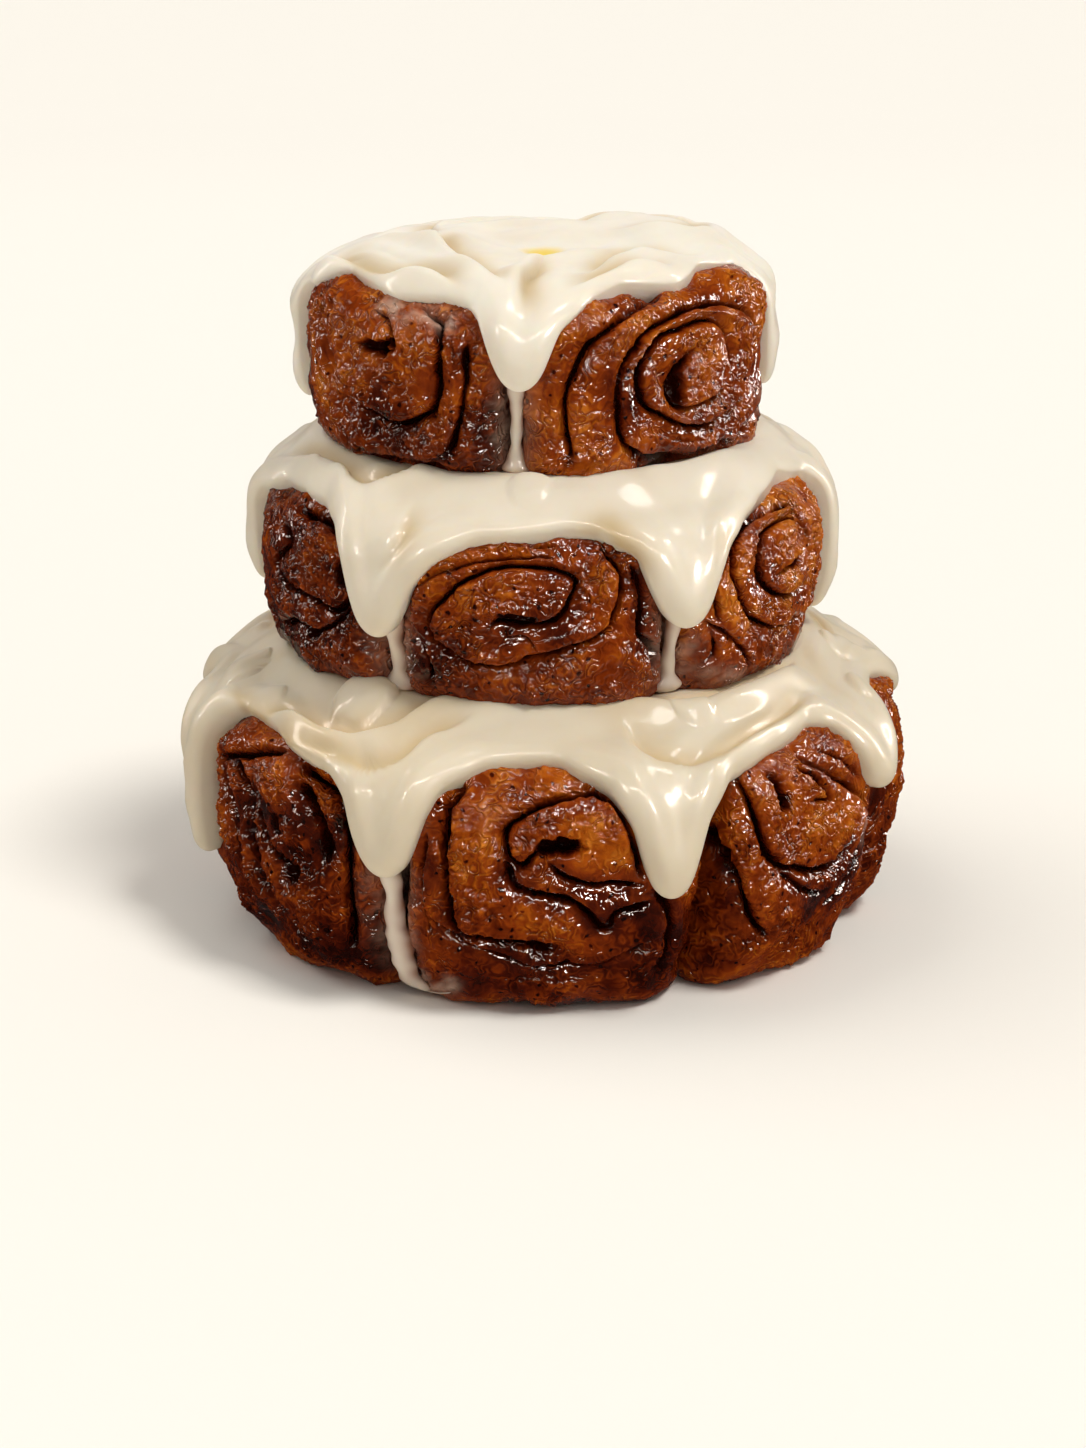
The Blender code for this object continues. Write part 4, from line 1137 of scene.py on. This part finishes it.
def crust_material(settings):
    """Baked dough under boiled sugar syrup: a brown leathery crust, curled and pitted, with
    painted shade in its cuts, holes and pores, and a wet glaze that is smoother than the crust."""
    material, tree, shader = new_material("glazed_crust", Coat_Roughness=0.055, Roughness=0.5,
                                          Specular_IOR_Level=0.0)
    coords = add_node(tree, "TexCoord", output="Object")
    tone, cut, syrup, foot, milk = (
        add_node(tree, "Attribute", output="Fac", attribute_name=name)
        for name in ("tone", "cut", "syrup", "foot", "milk"))
    # a slow bend of 1.5 mm keeps the crust's cells from looking like a lattice
    bend = add_node(tree, "TexNoise", {"Vector": coords, "Scale": 1 / (4.35 * MM), "Detail": 2},
                    "Color")
    bent = add_node(tree, "VectorMath", {0: bend, 1: [3 * MM] * 3, 2: coords},
                    operation="MULTIPLY_ADD")
    fine = add_node(tree, "TexNoise", {"Vector": bent, "Scale": 1 / (1.92 * MM), "Detail": 5,
                                       "Roughness": 0.6})
    mottle = add_node(tree, "TexNoise", {"Vector": coords, "Scale": 1 / (6.67 * MM), "Detail": 4})
    soft = add_node(tree, "TexNoise", {"Vector": bent, "Scale": 1 / (4.35 * MM), "Detail": 0})
    pore_dent_and_shade = crust_pores(tree, bent)
    curl = curled_wrinkles(tree, bent, coords, syrup)
    # the darkening by the cuts and pores is painted shade in those recesses
    for pattern, share in ((mottle, 0.5), (fine, 0.16), (cut, -0.75), (syrup, -0.16),
                           (pore_dent_and_shade, -0.45), (curl, 0.3)):
        tone = add_node(tree, "Math", {0: pattern, 1: share, 2: tone}, operation="MULTIPLY_ADD")
    tone = add_node(tree, "Math", {0: tone, 1: -0.35}, operation="ADD")
    tone = add_node(tree, "Math", {0: foot, 1: 0.42, 2: tone}, operation="MULTIPLY_ADD",
                    use_clamp=True)
    baked = add_node(tree, "ValToRGB", {0: tone})
    stops = baked.node.color_ramp.elements
    stops[0].position, stops[0].color = 0.0, settings.dark
    stops[1].position, stops[1].color = 1.0, settings.light
    for where, colour in ((0.22, linear("#4f1502")), (0.5, settings.middle),
                          (0.74, linear("#ad530f"))):
        stops.new(where).color = colour
    film = add_node(tree, "Math", {0: milk, 1: 0.8}, operation="MULTIPLY")
    colour = add_node(tree, "Mix", {0: film, 6: baked, 7: linear("#c2a18c")}, 2, data_type="RGBA")
    tree.links.new(colour, shader.inputs["Base Color"])
    crust_relief(tree, shader, curl, syrup, soft, pore_dent_and_shade, fine)
    wet = add_node(tree, "Math", {0: syrup, 1: 0.55, 2: 0.42}, operation="MULTIPLY_ADD")
    open_face = add_node(tree, "Math", {0: cut, 1: -0.9, 2: 1.0}, operation="MULTIPLY_ADD")
    wet = add_node(tree, "Math", {0: wet, 1: open_face}, operation="MULTIPLY", use_clamp=True)
    tree.links.new(wet, shader.inputs["Coat Weight"])
    return material


def cream_material(settings):
    """Poured cream icing of sugar, butter and cream cheese: glossy, a little translucent, with
    painted shade in its folds and pools and over the lower tiers, and see-through where it is
    a thin trickle."""
    material, tree, shader = new_material(
        "cream_icing", Roughness=0.46, Specular_IOR_Level=0.28, Coat_Weight=0.2,
        Coat_Roughness=0.12, Subsurface_Weight=0.35, Subsurface_Radius=(1.0, 0.7, 0.36),
        Subsurface_Scale=3.0 * MM)
    coords = add_node(tree, "TexCoord", output="Object")
    fold, warm, butter, thin = (
        add_node(tree, "Attribute", output="Fac", attribute_name=name)
        for name in ("fold", "warm", "butter", "thin"))
    slow = add_node(tree, "TexNoise", {"Vector": coords, "Scale": 1 / (25 * MM), "Detail": 3})
    slow = add_node(tree, "Math", {0: slow, 1: 0.6, 2: -0.22}, operation="MULTIPLY_ADD")
    # depth: how far the colour turns to the shade colour; painted shade in the folds and pools,
    # with slow random patches
    depth = add_node(tree, "Math", {0: fold, 1: 0.85, 2: slow}, operation="MULTIPLY_ADD",
                     use_clamp=True)
    colour = settings.cream
    # The first two mixes paint shade: over all of a lower tier, and in the folds and pools.
    for share, shade in ((warm, linear("#e4d7be")), (depth, settings.shade),
                         (butter, settings.butter), (thin, linear("#a87861"))):
        colour = add_node(tree, "Mix", {0: share, 6: colour, 7: shade}, 2, data_type="RGBA")
    tree.links.new(colour, shader.inputs["Base Color"])
    ripple = add_node(tree, "TexNoise", {"Vector": coords, "Scale": 1 / (7.7 * MM), "Detail": 2})
    bump = add_node(tree, "Bump", {"Height": ripple, "Strength": 0.25, "Distance": 0.5 * MM})
    tree.links.new(bump, shader.inputs["Normal"])
    return material


def floor_material(pale):
    """Painted board, matt, with the faintest unevenness."""
    material, tree, shader = new_material("pale_board", Roughness=0.7, Specular_IOR_Level=0.1)
    coords = add_node(tree, "TexCoord", output="Object")
    grain = add_node(tree, "TexNoise", {"Vector": coords, "Scale": 1 / (333 * MM)})
    colour = add_node(tree, "Mix", {0: grain, 6: pale, 7: [share * 0.995 for share in pale]}, 2,
                      data_type="RGBA")
    tree.links.new(colour, shader.inputs["Base Color"])
    return material


# ---------------------------------------------------------------- floor, lights and camera

# Boxes that only shine on wet surfaces: where they stand, their width and height in metres,
# and their power
GLINTS = (
    ("left_strip", (-0.55, 0.10, 0.28), 0.05, 0.50, 2.4),
    ("right_strip", (0.55, 0.10, 0.28), 0.05, 0.50, 5.0),
    ("right_box", (0.55, -0.65, 0.40), 0.18, 0.18, 12.0),
    ("left_box", (-0.50, -0.75, 0.45), 0.16, 0.16, 4.2),
    ("high_strip", (0.05, -0.90, 0.66), 0.80, 0.04, 9.0),
    ("back_box", (0.0, 1.20, 0.36), 1.60, 0.50, 2.2),
)
SIDE_SHARE = 0.52         # the light from the left, against the key
FLOOR_SIZE = 9.0          # metres from its middle to each side
FLOOR_GAP = 0.2 * MM      # under the cake's foot
AIM_HEIGHT = 0.10         # the lights aim at the middle of the cake
CAMERA_SPOT = (-0.001, -1.105, 0.427)
CAMERA_PITCH = 18.67      # degrees below level
FOCAL_LENGTH = 97.66      # on a sensor 36 mm wide


def add_light(name, kind, spot, energy, tint, **options):
    """Put a lamp at a spot, turned towards the middle of the cake."""
    light = bpy.data.lights.new(name, kind)
    light.energy = energy
    light.color = linear(tint)[:3]
    for key, value in options.items():
        setattr(light, key, value)
    lamp = bpy.data.objects.new(name, light)
    bpy.context.scene.collection.objects.link(lamp)
    lamp.location = spot
    look = np.array([0, 0, AIM_HEIGHT]) - spot
    lamp.rotation_euler = (math.acos(-look[2] / np.linalg.norm(look)), 0,
                           math.atan2(look[1], look[0]) - math.pi / 2)
    return lamp


def add_floor(settings):
    """A square of pale board under the cake, which wet surfaces don't mirror."""
    mesh = bpy.data.meshes.new("floor")
    corners = [(x * FLOOR_SIZE, y * FLOOR_SIZE, -FLOOR_GAP)
               for x, y in ((-1, -1), (1, -1), (1, 1), (-1, 1))]
    mesh.from_pydata(corners, [], [(0, 1, 2, 3)])
    mesh.materials.append(floor_material(settings.floor))
    floor = bpy.data.objects.new("floor", mesh)
    bpy.context.scene.collection.objects.link(floor)
    floor.visible_glossy = False


def add_lights(settings):
    """A dim studio, three broad lights from above and the boxes that only glint."""
    world = bpy.data.worlds.new("studio")
    world.use_nodes = True
    background = world.node_tree.nodes["Background"]
    background.inputs["Color"].default_value = linear("#fefbf6")
    background.inputs["Strength"].default_value = 0.05
    bpy.context.scene.world = world
    add_light("key", "SUN", (0.39, -0.27, 1.0), settings.key, "#fffefc",
              angle=math.radians(16))
    fill = add_light("fill", "SUN", (0.05, -0.1, 1.0), settings.sky * math.pi, "#fffdfb",
                     angle=math.radians(150))
    side = add_light("side", "SUN", (-0.6, 0.2, 1.0), settings.key * SIDE_SHARE, "#fffefd",
                     angle=math.radians(50))
    fill.visible_glossy = side.visible_glossy = False
    for name, spot, width, height, power in GLINTS:
        lamp = add_light(name, "AREA", spot, power * settings.glint, "#fff2e7",
                         shape="RECTANGLE", size=width, size_y=height)
        lamp.visible_diffuse = lamp.visible_camera = False


def add_camera():
    """A camera in front of the cake, looking down at it as in the photograph."""
    data = bpy.data.cameras.new("camera")
    data.lens = FOCAL_LENGTH
    data.sensor_width = 36.0
    camera = bpy.data.objects.new("camera", data)
    camera.location = CAMERA_SPOT
    camera.rotation_euler = (math.radians(90 - CAMERA_PITCH), 0, 0)
    bpy.context.scene.collection.objects.link(camera)
    bpy.context.scene.camera = camera


# ---------------------------------------------------------------- operators

class CAKE_OT_rolls(Operator):
    """Make the crust of every roll"""
    bl_idname = "cake.rolls"
    bl_label = "Cinnamon rolls"

    def execute(self, context):
        settings = context.scene.cake_dough
        material = crust_material(settings)
        for roll in ROLLS:
            make_roll(roll, material, settings)
        return {"FINISHED"}


class CAKE_OT_icing(Operator):
    """Make the three layers of icing with their drips"""
    bl_idname = "cake.icing"
    bl_label = "Poured icing"

    def execute(self, context):
        settings = context.scene.cake_icing
        material = cream_material(settings)
        for tier, above in ((BASE, MIDDLE), (MIDDLE, TOP), (TOP, None)):
            make_icing(tier, above, material, settings)
        return {"FINISHED"}


class CAKE_OT_trickles(Operator):
    """Make the thin trickles between the rolls"""
    bl_idname = "cake.trickles"
    bl_label = "Trickles"

    def execute(self, context):
        material = bpy.data.materials["cream_icing"]
        for name, (tier, stations) in TRICKLES.items():
            make_trickle(name, tier, stations, material)
        return {"FINISHED"}


class CAKE_OT_stage(Operator):
    """Make the floor, the lights and the camera"""
    bl_idname = "cake.stage"
    bl_label = "Floor, lights and camera"

    def execute(self, context):
        settings = context.scene.cake_stage
        add_floor(settings)
        add_lights(settings)
        add_camera()
        context.scene.view_settings.view_transform = "Standard"
        return {"FINISHED"}


class CAKE_PT_panel(Panel):
    """Buttons that make the cake"""
    bl_label = "Celebration cake"
    bl_idname = "CAKE_PT_panel"
    bl_space_type = "VIEW_3D"
    bl_region_type = "UI"
    bl_category = "Cake"

    def draw(self, context):
        for group in ("cake_dough", "cake_icing", "cake_stage"):
            settings = getattr(context.scene, group)
            for key in settings.__annotations__:
                self.layout.prop(settings, key)
        for operator in OPERATORS:
            self.layout.operator(operator.bl_idname)


OPERATORS = (CAKE_OT_rolls, CAKE_OT_icing, CAKE_OT_trickles, CAKE_OT_stage)
CLASSES = (DoughSettings, IcingSettings, StageSettings) + OPERATORS + (CAKE_PT_panel,)


def register():
    for item in CLASSES:
        bpy.utils.register_class(item)
    bpy.types.Scene.cake_dough = PointerProperty(type=DoughSettings)
    bpy.types.Scene.cake_icing = PointerProperty(type=IcingSettings)
    bpy.types.Scene.cake_stage = PointerProperty(type=StageSettings)


def unregister():
    for group in ("cake_dough", "cake_icing", "cake_stage"):
        delattr(bpy.types.Scene, group)
    for item in reversed(CLASSES):
        bpy.utils.unregister_class(item)


def main():
    """Make everything."""
    register()
    for operator in OPERATORS:
        result = getattr(bpy.ops.cake, operator.bl_idname.split(".")[1])()
        if result != {"FINISHED"}:
            raise RuntimeError(f"{operator.bl_label} wasn't made")


if __name__ == "__main__":
    main()
